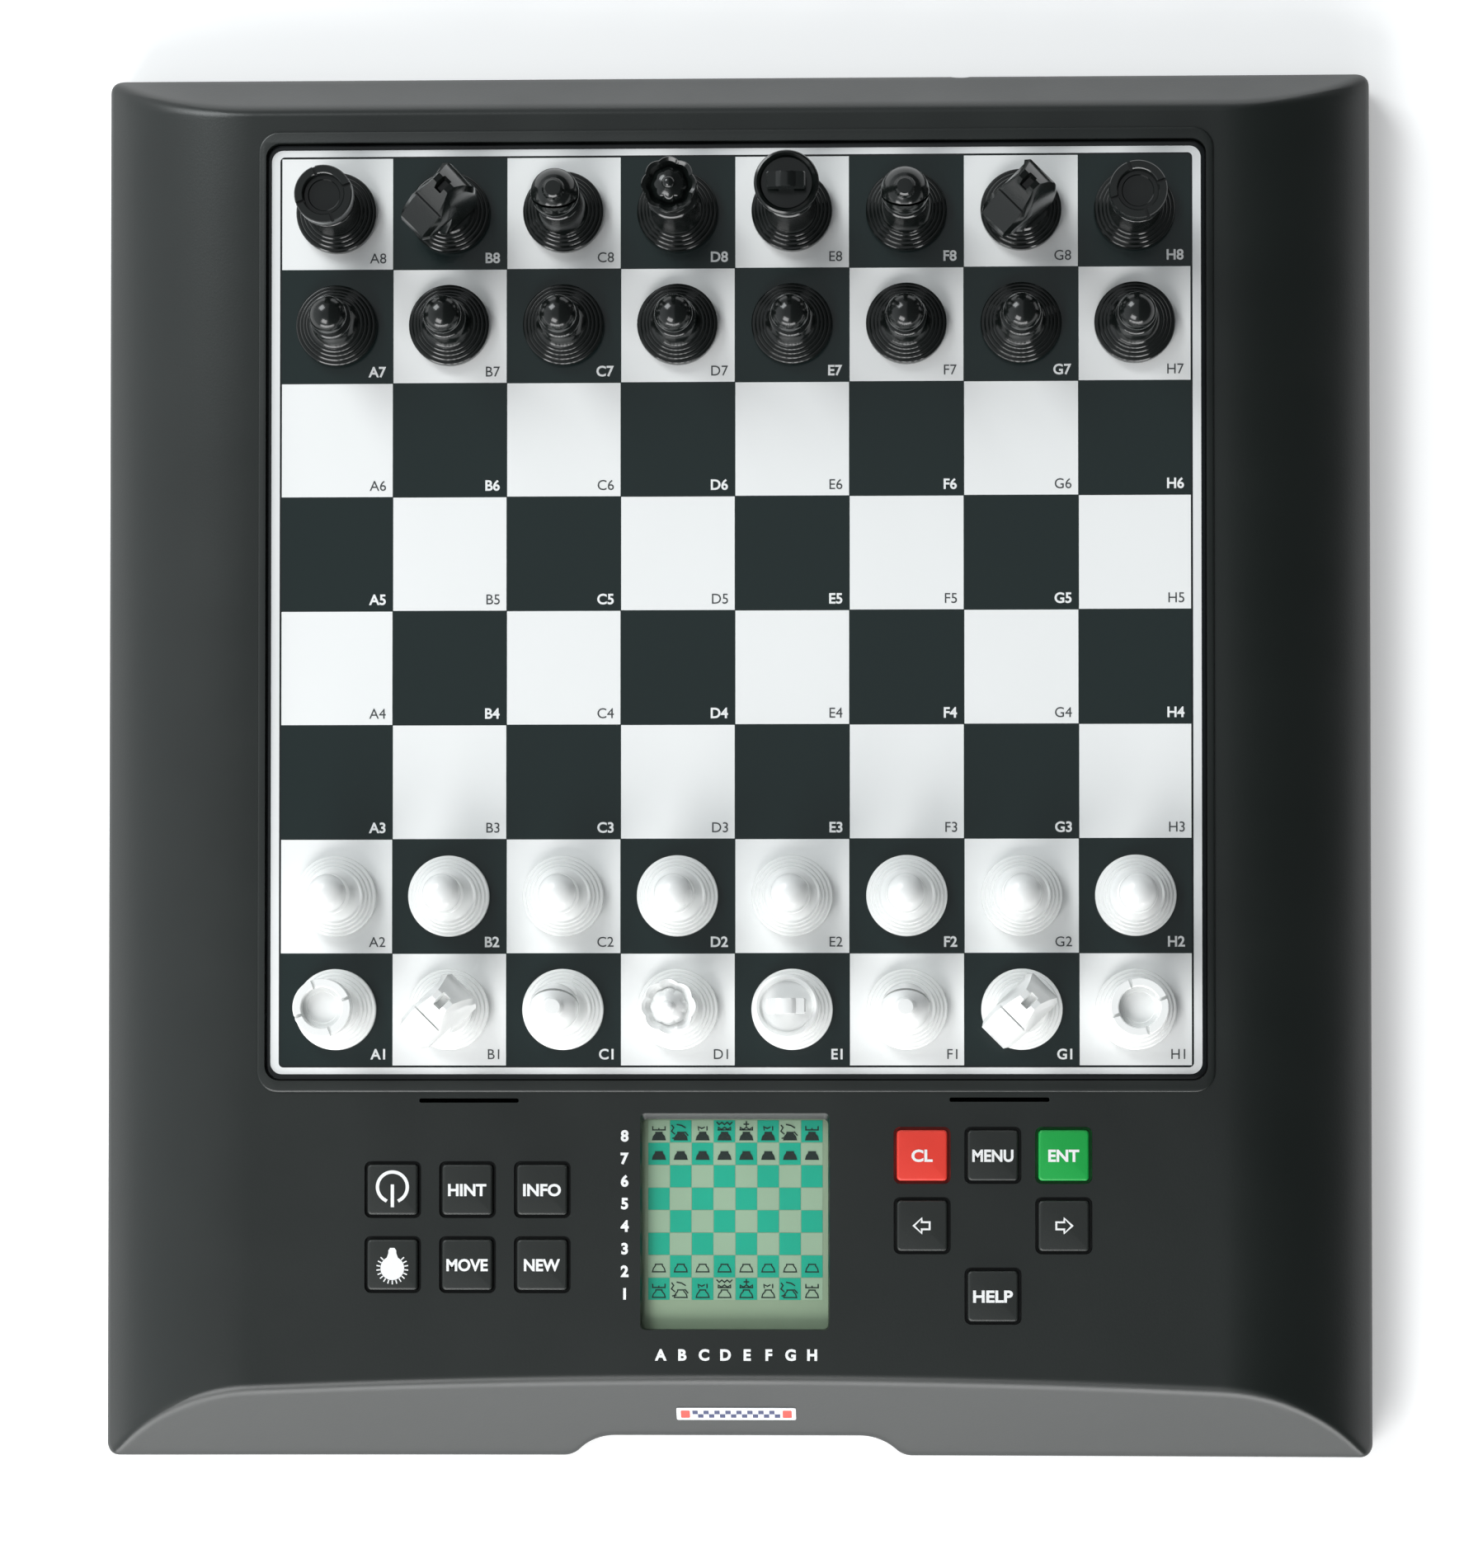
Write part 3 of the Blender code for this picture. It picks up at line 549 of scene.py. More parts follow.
def make_bottom_casing():
    """The lower shell, with its battery bay, screw bosses and the posts for the main board."""
    shell = bmesh.new()
    skin(shell, bottom_rings())
    hollow = bmesh.new()
    hollow_rect = (-0.143, -0.1515, 0.143, 0.1565)
    frustum(hollow, hollow_rect, hollow_rect, (0.0040, 0.02, 0.03))
    shell = combine(shell, hollow)
    door_size = box_size("battery_door")
    door_centre = (0.0, box_centre("battery_door")[1])
    added = bmesh.new()
    ledge = [size + 0.0042 for size in door_size]
    walls = [size + 0.0032 for size in BAY_SIZE]
    levels = ((ledge, 0.0025), (ledge, 0.0058), (walls, 0.0058), (walls, BAY_TOP_Z + 0.0016))
    skin(added, [flat_ring(rounded_rectangle(size, 0.0015, door_centre, 4), z) for size, z in levels])
    for centre in BOSS_CENTRES:
        prism(added, circle(BOSS_R + 0.0010, centre), 0.0025, SPLIT_Z)
    for centre in PCB_POSTS:
        prism(added, circle(0.0030, centre), 0.0025, 0.0197)
    shell = combine(shell, added, "UNION")
    openings = bmesh.new()
    opening = (door_size[0] + 2 * GAP, door_size[1] + 0.0010)
    levels = ((opening, 0.0), (opening, DOOR_STEP_Z), (BAY_SIZE, DOOR_STEP_Z), (BAY_SIZE, BAY_TOP_Z))
    skin(openings, [flat_ring(rounded_rectangle(size, 0.0003, door_centre, 3), z) for size, z in levels])
    for centre in BOSS_CENTRES:
        rings = zip((0.0032, 0.0032, 0.0016, 0.0016), (0.0, 0.0054, 0.0054, 0.0300))
        skin(openings, [flat_ring(circle(r, centre), z) for r, z in rings])
    shell = combine(shell, openings)
    shell = combine(shell, plug_hole())
    finish_piece("bottom_casing_shell", shell, "base", replaces=["bottom_casing"],
                 crease=32)


def make_screws():
    """Six countersunk screws with crossed slots, one in each boss."""
    for index, (x, y) in enumerate(BOSS_CENTRES, 1):
        head = turned([(0.0, 0.0195), (0.0010, 0.0190), (0.0011, 0.0053), (0.0027, 0.0053), (0.0027, 0.0044),
                       (0.0022, 0.0036), (0.0012, 0.0033), (0.0, 0.0032)], 32)
        for turn in (0, 90):
            arm = bmesh.new()
            prism(arm, rectangle(-0.0015, -0.00035, 0.0015, 0.00035), 0.0, 0.0044)
            bmesh.ops.rotate(arm, verts=arm.verts, matrix=Matrix.Rotation(math.radians(turn), 3, "Z"))
            head = combine(head, arm)
        bmesh.ops.translate(head, verts=head.verts, vec=(x, y, 0.0))
        finish_piece(f"casing_screw_{index}", head, "screw")


def make_battery_door():
    """The door's plate, with five grip grooves near its front edge."""
    low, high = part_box("battery_door")
    plate = bmesh.new()
    size = box_size("battery_door")
    soft_slab(plate, size, 0.0006, box_centre("battery_door"), low[2], high[2], 0.0003, 4, 0.0004)
    dips = bmesh.new()
    for i in range(5):
        centre = (0.0, low[1] + 0.0045 + 0.0024 * i)
        groove = rounded_rectangle((0.0220 - 0.0030 * i, 0.0011), 0.0005, centre, 4)
        prism(dips, groove, 0.0, low[2] + 0.0006)
    plate = combine(plate, dips)
    finish_piece("battery_door_plate", plate, "base", "battery_door", ["battery_door"])


def make_feet():
    for name in ("foot_front_left", "foot_front_right", "foot_back_left", "foot_back_right"):
        low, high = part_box(name)
        r = (high[0] - low[0]) / 2
        edge = [(r - 0.0014, 0.0), (r - 0.0007, 0.00008), (r - 0.0002, 0.0004), (r, 0.0009)]
        foot = turned([(0.0, 0.0)] + edge + [(r, high[2]), (0.0, high[2])], 48)
        bmesh.ops.translate(foot, verts=foot.verts, vec=(*box_centre(name), 0.0))
        finish_piece(name + "_pad", foot, "rubber", replaces=[name])


def make_dc_jack():
    """The inlet's block with its round bore, the contact sleeve that lines it and the pin in its middle."""
    low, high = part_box("dc_jack")
    size = (high[0] - low[0], high[2] - low[2])
    middle = ((high[0] + low[0]) / 2, (high[2] + low[2]) / 2)
    back = high[1]
    floor = back - 0.0103
    block = bmesh.new()
    section = rounded_rectangle(size, 0.0005, middle, 3)
    skin(block, [[Vector((x, y, z)) for x, z in section] for y in (low[1], back)])
    bore = [(0.0, floor), (0.0031, floor), (0.0031, back - 0.0004), (0.0034, back - 0.0001)]
    bore += [(0.0034, back + 0.01), (0.0, back + 0.01)]
    block = combine(block, along_jack(bore))
    finish_piece("dc_jack_block", block, "margin", replaces=["dc_jack"])
    tip = back - 0.0048
    pin = [(0.0, floor - 0.0005), (0.0010, floor - 0.0005), (0.0010, tip - 0.0008), (0.0006, tip), (0.0, tip)]
    finish_piece("dc_jack_pin", along_jack(pin), "steel")
    sleeve = along_jack([(0.00308, floor + 0.0003), (0.00308, back - 0.0009)])
    ends = [face for face in sleeve.faces if len(face.verts) > 4]
    bmesh.ops.delete(sleeve, geom=ends, context="FACES_ONLY")
    bmesh.ops.solidify(sleeve, geom=list(sleeve.faces), thickness=0.0003)
    finish_piece("dc_jack_sleeve", sleeve, "steel")


def make_badge():
    """A plain plate on the front bevel: a pale border with a row of small checks and no lettering."""
    height = DECK_Z + (BADGE_Y - FRONT_RIDGE_Y) * FRONT_RISE
    tilt = Matrix.Rotation(math.atan(FRONT_RISE), 4, "X")
    place = Matrix.Translation((0.0, BADGE_Y, height)) @ tilt
    plate = bmesh.new()
    soft_slab(plate, (0.0272, 0.0042), 0.0004, (0.0, 0.0), -0.0004, 0.00025, 0.00010, 4)
    checks = bmesh.new()
    ends = bmesh.new()
    for column in range(16):
        for row in range(2):
            if (column + row) % 2:
                centre = (CHECK * (column - 7.5), CHECK * (row - 0.5))
                prism(checks, rounded_rectangle((CHECK, CHECK), 0.00005, centre, 1), 0.0002, 0.0003)
    for side in (-1, 1):
        prism(ends, rounded_rectangle((0.0021, 0.0026), 0.0003, (side * 0.0116, 0.0), 3), 0.0002, 0.0003)
    for name, part, look in (("badge_plate", plate, "badge"), ("badge_checks", checks, "badge_blue"),
                             ("badge_ends", ends, "red")):
        part.transform(place)
        finish_piece(name, part, look)


# ---------------------------------------------------------------- board


def edge_of_square(index):
    """The place of a line between squares, counted 0 to 8 from the left or the front."""
    steps = index - 4
    if abs(steps) == 4:
        return math.copysign(3 * SQUARE + EDGE_SQUARE, steps)
    return steps * SQUARE


def make_board():
    """The printed sheet: a dark margin, a white frame, dark and light squares and a label in each."""
    centre = (0.0, BOARD_Y)
    top = BOARD_TOP - 4 * PRINT
    sheet = bmesh.new()
    soft_slab(sheet, box_size("board_overlay"), 0.0031, centre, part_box("board_overlay")[0][2], top, 0.00008)
    finish_piece("board_sheet", sheet, "margin", replaces=["board_overlay"])
    half = edge_of_square(8)
    border = bmesh.new()
    outer = rounded_rectangle((0.2116, 0.2108), 0.0026, centre)
    inner = rounded_rectangle((0.2078, 0.2078), 0.0011, centre)
    band(border, outer, inner, top, top + PRINT)
    finish_piece("board_frame_print", border, "frame")
    field = bmesh.new()
    prism(field, rounded_rectangle((2 * half, 2 * half), 0.0009, centre), top, top + PRINT)
    finish_piece("board_dark_field", field, "dark")
    light = bmesh.new()
    dark_letters = bmesh.new()
    light_letters = bmesh.new()
    inset = 0.00008
    for column in range(8):
        for row in range(8):
            x0, x1 = edge_of_square(column), edge_of_square(column + 1)
            y0, y1 = edge_of_square(row) + BOARD_Y, edge_of_square(row + 1) + BOARD_Y
            pale = (column + row) % 2 == 1
            if pale:
                corners = rectangle(x0 + inset, y0 + inset, x1 - inset, y1 - inset)
                prism(light, corners, top, top + 1.6 * PRINT)
            label = FILES[column].upper() + str(row + 1)
            letters, weight = (dark_letters, 0.0) if pale else (light_letters, 0.00008)
            label_z = top + 2.0 * PRINT
            write(letters, label, x1 - 0.0016, y0 + 0.0027, label_z, LABEL_HEIGHT, weight, right=True)
    finish_piece("board_light_squares", light, "light")
    finish_piece("board_labels_dark", dark_letters, "ink")
    finish_piece("board_labels_light", light_letters, "white_ink")


# ---------------------------------------------------------------- keys


def power_symbol(bm, z):
    """A ring that is open towards the player, and a line through the gap."""
    r = 0.0034
    gap = math.radians(28)
    steps = 36
    arc = []
    for step in range(steps + 1):
        angle = math.radians(-90) + gap + (math.tau - 2 * gap) * step / steps
        arc.append((r * math.cos(angle), 0.0006 + r * math.sin(angle)))
    stroke(bm, arc, 0.00075, z)
    stroke(bm, [(0.0, 0.0008), (0.0, -0.0036)], 0.00075, z + PRINT / 5)


def bulb_symbol(bm, z):
    """A lamp bulb with its cap away from the player, and short rays round it."""
    centre_y = -0.0008
    cap = [(0.0005, 0.0038), (0.0009, 0.0032), (0.0009, 0.0026)]
    points = [(-x, y) for x, y in reversed(cap)] + cap
    steps = 28
    for step in range(steps + 1):
        angle = math.radians(62) - math.radians(304) * step / steps
        points.append((0.0027 * math.cos(angle), centre_y + 0.0027 * math.sin(angle)))
    prism(bm, points, z - PRINT / 2, z + PRINT / 2)
    for ray in range(17):
        angle = math.radians(43 - 266 * ray / 16)
        start, end = 0.0029, 0.0035
        stroke(bm, [(start * math.cos(angle), centre_y + start * math.sin(angle)),
                    (end * math.cos(angle), centre_y + end * math.sin(angle))], 0.00028, z)


def arrow_symbol(bm, z, way):
    shape = [(-0.0019, 0.0), (-0.0001, 0.0017), (-0.0001, 0.0008), (0.0017, 0.0008), (0.0017, -0.0008),
             (-0.0001, -0.0008), (-0.0001, -0.0017)]
    stroke(bm, [(x * way, y) for x, y in shape], 0.00042, z, closed=True)


def make_keys():
    looks = {"key_clear": ("red", "key_red"), "key_enter": ("green", "key_green")}
    words = {"key_hint": ("HINT", 0.0087), "key_info": ("INFO", 0.0086), "key_move": ("MOVE", 0.0094),
             "key_new": ("NEW", 0.0082), "key_clear": ("CL", 0.0048), "key_menu": ("MENU", 0.0093),
             "key_enter": ("ENT", 0.0070), "key_help": ("HELP", 0.0090)}
    for name in KEYS:
        low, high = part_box(name)
        centre = box_centre(name)
        flange_low = high[2] - 0.0047
        flange_top = flange_low + 0.0012
        look, slot = looks.get(name, ("key", "key_dark"))
        cap = bmesh.new()
        rings = [((0.0060, 0.0060), 0.0005, low[2]), ((0.0060, 0.0060), 0.0005, flange_low),
                 ((0.0144, 0.0144), 0.0008, flange_low), ((0.0144, 0.0144), 0.0008, flange_top),
                 ((0.0116, 0.0116), 0.0009, flange_top)]
        for step in range(6):
            angle = math.radians(18 * step)
            inset = KEY_EDGE_R * (1 - math.cos(angle))
            side = KEY_CAP - 2 * inset
            z = high[2] - 0.0002 - KEY_EDGE_R * (1 - math.sin(angle))
            rings.append(((side, side), 0.0009 - 0.6 * inset, z))
        skin(cap, [flat_ring(rounded_rectangle(size, radius, centre, 6), z) for size, radius, z in rings])
        finish_piece(name + "_cap", cap, look, name, [name], crease=40)
        top = high[2] - 0.0002 + PRINT / 2
        legend = bmesh.new()
        if name in words:
            text, width = words[name]
            write(legend, text, 0.0, 0.0, top, LEGEND_HEIGHT, 0.00012, width)
        elif name == "key_power":
            power_symbol(legend, top)
        elif name == "key_light":
            bulb_symbol(legend, top)
        else:
            arrow_symbol(legend, top, -1 if name == "key_right" else 1)
        bmesh.ops.translate(legend, verts=legend.verts, vec=(*centre, 0.0))
        finish_piece(name + "_legend", legend, "white_ink", name)


# ---------------------------------------------------------------- display


def cell_origin(column, row):
    return DISPLAY_GRID_CORNER[0] + DISPLAY_CELL[0] * column, DISPLAY_GRID_CORNER[1] + DISPLAY_CELL[1] * row


def icon_body(kind):
    """The stand under each piece's mark: a low trapezoid with a cap, drawn about the cell's middle."""
    if kind == "pawn":
        base, top, low, high = 0.00145, 0.00078, -0.00125, 0.00045
    else:
        base, top, low, high = 0.00145, 0.00070, -0.00195, -0.00025
    waist = low + (high - low) * 0.45
    return [(-base, low), (base, low), (base * 0.86, waist), (top, high - 0.0003), (top, high), (-top, high),
            (-top, high - 0.0003), (-base * 0.86, waist)]


def icon_marks(kind):
    """The small strokes above the stand, which tell the pieces apart."""
    crown = [[(-0.0014, 0.0003), (-0.0014, 0.0009), (-0.0007, 0.0004), (0.0, 0.0009), (0.0007, 0.0004),
              (0.0014, 0.0009), (0.0014, 0.0003), (-0.0014, 0.0003)]]
    marks = {
        "rook": [[(-0.0014, 0.0010), (-0.0014, 0.0003), (0.0014, 0.0003), (0.0014, 0.0010)],
                 [(0.0, 0.0003), (0.0, 0.0006)]],
        "bishop": [[(-0.0009, 0.0003), (-0.0010, 0.0010), (-0.0002, 0.0006), (0.0004, 0.0009)],
                   [(0.0010, 0.0003), (0.0010, 0.0010)]],
        "knight": [[(-0.0014, -0.0006), (-0.0021, 0.0), (-0.0016, 0.0008), (-0.0020, 0.0013)],
                   [(-0.0008, 0.0015), (0.0002, 0.0013), (0.0010, 0.0008)],
                   [(0.0010, -0.0002), (0.0016, -0.0009)], [(-0.0018, -0.0016), (-0.0011, -0.0014)]],
        "queen": crown + [[(-0.0017, 0.0020), (-0.0012, 0.0015), (-0.0006, 0.0020), (0.0, 0.0015),
                           (0.0006, 0.0020), (0.0012, 0.0015), (0.0017, 0.0020)]],
        "king": crown + [[(-0.0005, 0.0016), (0.0005, 0.0016)], [(0.0, 0.0011), (0.0, 0.0021)]],
        "pawn": [],
    }
    return marks[kind]


def make_display():
    """The display's glass with its cells and piece icons, and the clear window over it."""
    low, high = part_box("lcd_panel")
    z = high[2]
    glass = bmesh.new()
    soft_slab(glass, box_size("lcd_panel"), 0.0004, (0.0, DISPLAY_Y), low[2], z, 0.0001, 3)
    finish_piece("lcd_glass", glass, "lcd", replaces=["lcd_panel"])
    cells = {"lcd_light": bmesh.new(), "lcd_teal": bmesh.new()}
    gap = 0.00006
    for column in range(8):
        for row in range(8):
            x, y = cell_origin(column, row)
            look = "lcd_light" if (column + row) % 2 else "lcd_teal"
            corners = rectangle(x + gap, y + gap, x + DISPLAY_CELL[0] - gap, y + DISPLAY_CELL[1] - gap)
            prism(cells[look], corners, z, z + PRINT)
    for look, bm in cells.items():
        finish_piece(look + "_cells", bm, look)
    icons = bmesh.new()
    level = z + 1.6 * PRINT
    for name in PIECES:
        colour, kind, square = name.split("_")
        x, y = cell_origin(FILES.index(square[0]), int(square[1]) - 1)
        cx, cy = x + DISPLAY_CELL[0] / 2, y + DISPLAY_CELL[1] / 2
        body = [(cx + px, cy + py) for px, py in icon_body(kind)]
        if colour == "black":
            prism(icons, body, level - PRINT / 2, level + PRINT / 2)
        stroke(icons, body, 0.00026, level + PRINT / 4, closed=True)
        for index, mark in enumerate(icon_marks(kind), 1):
            stroke(icons, [(cx + px, cy + py) for px, py in mark], 0.00028, level + index * PRINT / 8)
    finish_piece("lcd_icons", icons, "lcd_dark")
    low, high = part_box("lcd_window")
    window = bmesh.new()
    soft_slab(window, box_size("lcd_window"), 0.0008, (0.0, DISPLAY_Y), low[2], high[2], 0.0002, 4)
    finish_piece("lcd_window_clear", window, "window", replaces=["lcd_window"])


def make_deck_print():
    """The rank numbers and file letters beside the display."""
    bm = bmesh.new()
    z = DECK_Z + PRINT / 2
    for row in range(8):
        y = -0.1209 + DISPLAY_CELL[1] * row
        write(bm, str(row + 1), -0.0250, y, z, DECK_LETTER_HEIGHT, 0.00014)
    for column in range(8):
        x = -0.0168 + 0.0049 * column
        write(bm, FILES[column].upper(), x, -0.1347, z, DECK_LETTER_HEIGHT, 0.00014)
    finish_piece("deck_coordinates", bm, "white_ink")


# ---------------------------------------------------------------- inside


def dress_inside():
    """The parts inside keep their CAD shapes and only get their materials."""
    for node, look in (("sensor_board", "board"), ("main_pcb", "board"), ("keypad_mat", "silicone"),
                       ("speaker", "paper"), ("battery_contacts", "steel")):
        data = bpy.data.objects[node].data
        data.materials.clear()
        data.materials.append(LOOKS[look])


# ---------------------------------------------------------------- chess pieces


def bead(radius, z, size, steps=6):
    """A half-round ring standing out of the side."""
    angles = [math.radians(-90 + 180 * i / steps) for i in range(steps + 1)]
    return [(radius + size * math.cos(angle), z + size * math.sin(angle)) for angle in angles]


def cove(r0, z0, r1, z1, pull, steps=10):
    """A hollow curve between two points. pull, from 0 to 1, draws it towards the narrow end's radius."""
    control = (r1 + (r0 - r1) * (1 - pull) * 0.5, z0 + (z1 - z0) * (1 - pull) * 0.5 + (z1 - z0) * 0.12)
    points = []
    for i in range(steps + 1):
        t = i / steps
        points.append(((1 - t) ** 2 * r0 + 2 * t * (1 - t) * control[0] + t * t * r1,
                       (1 - t) ** 2 * z0 + 2 * t * (1 - t) * control[1] + t * t * z1))
    return points


def ball(radius, z, start, end=90, steps=14, stretch=1.0):
    angles = [math.radians(start + (end - start) * i / steps) for i in range(steps + 1)]
    return [(radius * math.cos(angle), z + stretch * radius * math.sin(angle)) for angle in angles]


def piece_foot():
    """The foot that every piece stands on: a wide disc with four stepped rings above it."""
    profile = [(0.0, 0.0), (0.0088, 0.0), (0.0091, 0.0002), (0.0092, 0.0005), (0.0092, 0.0018)]
    for radius, z, size in ((0.0086, 0.0024, 0.0006), (0.0077, 0.0034, 0.0006), (0.0069, 0.0045, 0.0005),
                            (0.0061, 0.0056, 0.0005)):
        profile += bead(radius, z, size, 6)[3:] + [(radius - 0.0002, z + size)]
    return profile


def pawn_mesh():
    profile = piece_foot() + cove(0.0056, 0.0063, 0.0031, 0.0148, 0.75)
    profile += bead(0.0040, 0.0157, 0.0007) + [(0.0030, 0.0168)]
    return turned(profile + ball(0.0043, 0.0214, -46))


def rook_mesh():
    profile = piece_foot() + cove(0.0058, 0.0063, 0.0046, 0.0212, 0.7)
    profile += bead(0.0054, 0.0221, 0.0007) + [(0.0050, 0.0232)]
    profile += cove(0.0052, 0.0236, 0.0064, 0.0262, 0.2, 5)
    profile += [(0.0065, 0.0270), (0.0065, 0.0321), (0.0063, 0.0324), (0.0048, 0.0324), (0.0046, 0.0322)]
    profile += [(0.0044, 0.0300), (0.0036, 0.0300), (0.0034, 0.0296), (0.0, 0.0296)]
    bm = turned(profile)
    for turn in (20, 110):
        notch = bmesh.new()
        prism(notch, rectangle(-0.008, -0.00035, 0.008, 0.00035), 0.0311, 0.0340)
        bmesh.ops.rotate(notch, verts=notch.verts, matrix=Matrix.Rotation(math.radians(turn), 3, "Z"))
        bm = combine(bm, notch)
    return bm


def bishop_mesh():
    profile = piece_foot() + cove(0.0057, 0.0063, 0.0034, 0.0226, 0.8)
    profile += bead(0.0044, 0.0236, 0.0008) + [(0.0034, 0.0247)]
    profile += bead(0.0036, 0.0254, 0.0005, 4) + [(0.0032, 0.0262)] + ball(0.0054, 0.0318, -52, 62, 14, 1.12)
    profile += [(0.0022, 0.0378), (0.0021, 0.0386), (0.0017, 0.0390), (0.0, 0.0391)]
    bm = turned(profile)
    slit = bmesh.new()
    prism(slit, rectangle(-0.007, -0.00035, 0.007, 0.00035), 0.0, 0.0120)
    bmesh.ops.rotate(slit, verts=slit.verts, matrix=Matrix.Rotation(math.radians(-38), 3, "X"))
    bmesh.ops.translate(slit, verts=slit.verts, vec=(0.0, 0.0010, 0.0322))
    return combine(bm, slit)


def queen_mesh():
    profile = piece_foot() + cove(0.0058, 0.0063, 0.0038, 0.0290, 0.82, 12)
    profile += bead(0.0050, 0.0301, 0.0009) + [(0.0042, 0.0313)] + bead(0.0043, 0.0322, 0.0006, 4)
    profile += cove(0.0040, 0.0331, 0.0061, 0.0428, 0.35) + [(0.0062, 0.0434), (0.0060, 0.0437)]
    profile += [(0.0052, 0.0433), (0.0046, 0.0424), (0.0042, 0.0420)] + ball(0.0041, 0.0418, 8, 66, 6, 0.75)
    profile += [(0.0012, 0.0448)] + ball(0.0015, 0.0459, -40, 90, 8)

    def scallops(angle, z):
        share = max(0.0, min(1.0, (z - 0.0395) / 0.0035)) if z < 0.0440 else 0.0
        return 1.0 - 0.085 * share * (1 - abs(math.cos(4 * angle)))
    return turned(profile, 96, scallops)


def king_mesh():
    profile = piece_foot() + cove(0.0058, 0.0063, 0.0040, 0.0308, 0.82, 12)
    profile += bead(0.0052, 0.0320, 0.0009) + [(0.0044, 0.0332)] + bead(0.0046, 0.0341, 0.0006, 4)
    profile += cove(0.0042, 0.0350, 0.0070, 0.0440, 0.3) + [(0.0072, 0.0446), (0.0072, 0.0452)]
    profile += [(0.0070, 0.0456), (0.0066, 0.0458), (0.0060, 0.0455), (0.0056, 0.0447), (0.0, 0.0447)]
    bm = turned(profile)
    half = 0.0017
    arm = [(0.0018, 0.0440), (0.0018, 0.0466), (0.0040, 0.0466), (0.0043, 0.0470), (0.0043, 0.0498),
           (0.0040, 0.0502), (0.0022, 0.0504), (0.0015, 0.0510), (0.0011, 0.0512)]
    arms = arm + [(-x, z) for x, z in reversed(arm)]
    cross = bmesh.new()
    skin(cross, [[Vector((x * (0.94 if edge else 1.0), y, z)) for x, z in arms]
                 for y, edge in ((-half, 1), (-half + 0.0003, 0), (half - 0.0003, 0), (half, 1))])
    return combine(bm, cross, "UNION")


def knight_mesh():
    """A turned foot and a faceted horse's head that looks along -X: flat planes with bevelled edges."""
    base = turned(piece_foot() + [(0.0060, 0.0072), (0.0060, 0.0092), (0.0056, 0.0096), (0.0, 0.0096)])
    nape = [(0.0058, 0.0085), (0.0066, 0.0150), (0.0072, 0.0225), (0.0066, 0.0290), (0.0052, 0.0335),
            (0.0032, 0.0368), (0.0012, 0.0372)]
    face = [(-0.0004, 0.0350), (-0.0050, 0.0300), (-0.0092, 0.0262), (-0.0096, 0.0222), (-0.0080, 0.0204)]
    throat = [(-0.0040, 0.0222), (-0.0018, 0.0226), (-0.0030, 0.0170), (-0.0048, 0.0115), (-0.0052, 0.0085)]
    side = nape + face + throat

    def width(x, z):
        muzzle = max(0.0, min(1.0, -x / 0.0092))
        top = max(0.0, min(1.0, (z - 0.0300) / 0.0070))
        return 0.0048 * (1 - 0.10 * muzzle) * (1 - 0.40 * top)

    def section(share, shrink):
        shift_x = 0.0004 * (1 - shrink)
        shift_z = 0.021 * (1 - shrink)
        return [Vector((x * shrink + shift_x, share * width(x, z), z * shrink + shift_z)) for x, z in side]
    head = bmesh.new()
    skin(head, [section(-1.0, 0.84), section(-0.78, 0.99), section(0.78, 0.99), section(1.0, 0.84)])
    mouth = bmesh.new()
    prism(mouth, rectangle(-0.0110, -0.006, -0.0060, 0.006), 0.0228, 0.0234)
    brow = bmesh.new()
    prism(brow, rectangle(-0.0036, -0.006, -0.0032, 0.006), 0.0302, 0.0400)
    ears = bmesh.new()
    skin(ears, [flat_ring(rectangle(0.0006, -0.0007, 0.0030, 0.0007), 0.0335),
                flat_ring(rectangle(-0.0008, -0.0013, 0.0044, 0.0013), 0.0385)])
    head = combine(combine(combine(head, mouth), brow), ears)
    made = combine(base, head, "UNION")
    bmesh.ops.rotate(made, verts=made.verts, matrix=Matrix.Rotation(math.radians(45), 3, "Z"))
    return made


def make_pieces():
    """Six shapes, each made once and copied to every piece of its kind."""
    makers = {"pawn": pawn_mesh, "rook": rook_mesh, "knight": knight_mesh, "bishop": bishop_mesh,
              "queen": queen_mesh, "king": king_mesh}
    shapes = {}
    for kind, maker in makers.items():
        bm = maker()
        shapes[kind] = bpy.data.meshes.new(kind)
        bm.to_mesh(shapes[kind])
        bm.free()
    for name in PIECES:
        colour, kind, _ = name.split("_")
        stand_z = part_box(name)[0][2]
        x, y = box_centre(name)
        if kind == "knight":
            column, row = FILES.index(name[-2]), int(name[-1]) - 1
            x, y = [(edge_of_square(i) + edge_of_square(i + 1)) / 2 for i in (column, row)]
            y += BOARD_Y
        place = Matrix.Translation((x, y, stand_z))
        if colour == "black" and kind == "bishop":
            place = place @ Matrix.Rotation(math.pi, 4, "Z")
        bm = bmesh.new()
        bm.from_mesh(shapes[kind])
        bm.transform(place)
        bm.transform(Matrix.Translation((0.0, 0.0, -PIECE_DROP)))
        finish_piece(name + "_fine", bm, colour, name, [name], crease=28)


# ---------------------------------------------------------------- stage


def area_light(name, at, target, size, power, colour=(1.0, 1.0, 1.0)):
    data = bpy.data.lights.new(name, "AREA")
    data.shape = "RECTANGLE"
    data.size, data.size_y = size
    data.energy = power
    data.color = colour
    lamp = bpy.data.objects.new(name, data)
    lamp.location = at
    lamp.rotation_euler = (Vector(target) - Vector(at)).to_track_quat("-Z", "Y").to_euler()
    bpy.context.scene.collection.objects.link(lamp)


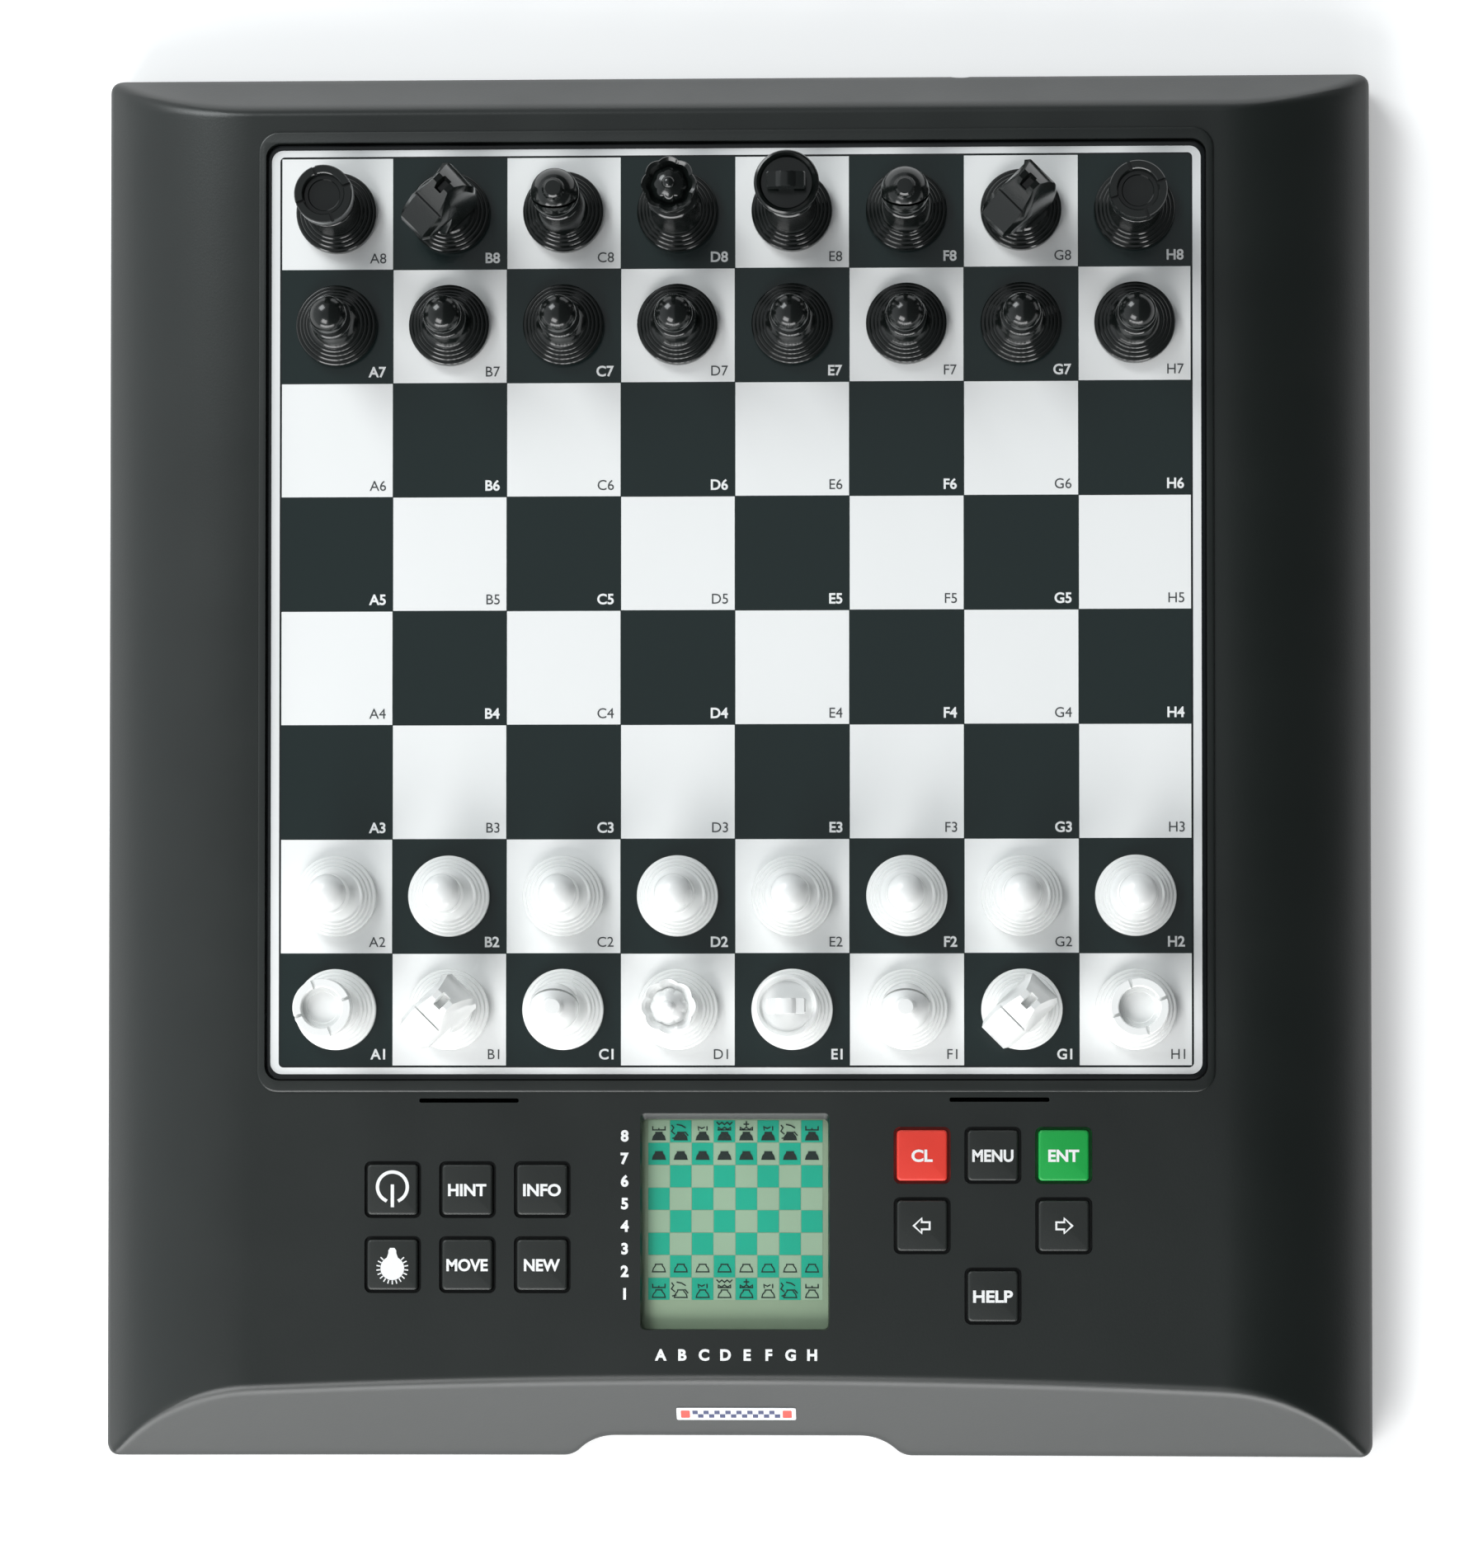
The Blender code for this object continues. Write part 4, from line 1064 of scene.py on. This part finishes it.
def studio_world():
    """An even pale room that is brighter to the left and falls off to a dark wall on the right."""
    world = bpy.data.worlds.new("studio")
    world.use_nodes = True
    tree = world.node_tree
    coords = tree.nodes.new("ShaderNodeTexCoord")
    parts = tree.nodes.new("ShaderNodeSeparateXYZ")
    tree.links.new(coords.outputs["Generated"], parts.inputs["Vector"])
    total = tree.nodes.new("ShaderNodeMath")
    for index, (start, end, low, high) in enumerate(((0.03, 0.24, 0.50, 0.10), (-1.0, -0.35, 0.45, 0.0))):
        fade = tree.nodes.new("ShaderNodeMapRange")
        fade.interpolation_type = "SMOOTHSTEP"
        fade.inputs["From Min"].default_value = start
        fade.inputs["From Max"].default_value = end
        fade.inputs["To Min"].default_value = low
        fade.inputs["To Max"].default_value = high
        tree.links.new(parts.outputs["X"], fade.inputs["Value"])
        tree.links.new(fade.outputs["Result"], total.inputs[index])
    background = tree.nodes["Background"]
    background.inputs["Color"].default_value = (0.93, 0.97, 1.0, 1.0)
    tree.links.new(total.outputs["Value"], background.inputs["Strength"])
    return world


def make_stage():
    bm = bmesh.new()
    prism(bm, rounded_rectangle((6.0, 6.0), 0.5), -0.02, -0.00005)
    bmesh.ops.recalc_face_normals(bm, faces=bm.faces)
    mesh = bpy.data.meshes.new("floor")
    bm.to_mesh(mesh)
    bm.free()
    floor = bpy.data.objects.new("floor", mesh)
    bpy.context.scene.collection.objects.link(floor)
    material, _ = principled("pale floor", (0.90, 0.90, 0.90), 0.8, Emission_Strength=0.30,
                             Emission_Color=(1.0, 1.0, 1.0, 1.0))
    mesh.materials.append(material)

    bpy.context.scene.world = studio_world()
    area_light("front softbox", (-0.10, -1.25, 0.20), (0.0, -0.05, 0.02), (1.7, 0.34), 14.5)
    area_light("front left softbox", (-0.50, -1.00, 1.00), (0.0, 0.0, 0.0), (0.8, 0.6), 12.5)
    area_light("back left softbox", (-0.80, 0.95, 1.00), (0.0, 0.0, 0.0), (0.7, 0.7), 12.5, (0.95, 0.99, 1.0))

    bpy.context.scene.view_settings.view_transform = "Standard"


def make_camera():
    """Almost straight above, a little to the right of the middle and in front of it."""
    data = bpy.data.cameras.new("camera")
    data.lens = 141.9
    data.shift_y = 0.10
    data.sensor_width = 36.0
    camera = bpy.data.objects.new("camera", data)
    at = Vector((0.052, -0.079, 1.43))
    forward = (Vector((-0.0019, -0.0405, 0.012)) - at).normalized()
    right = forward.cross(Vector((0.0, 1.0, 0.0))).normalized()
    up = right.cross(forward)
    camera.matrix_world = Matrix.Translation(at) @ Matrix((right, up, -forward)).transposed().to_4x4()
    bpy.context.scene.collection.objects.link(camera)
    bpy.context.scene.camera = camera


LOOKS = make_materials()
make_camera()
make_stage()
make_top_casing()
make_bottom_casing()
make_screws()
make_battery_door()
make_feet()
make_dc_jack()
make_badge()
make_board()
make_keys()
make_display()
make_deck_print()
dress_inside()
make_pieces()
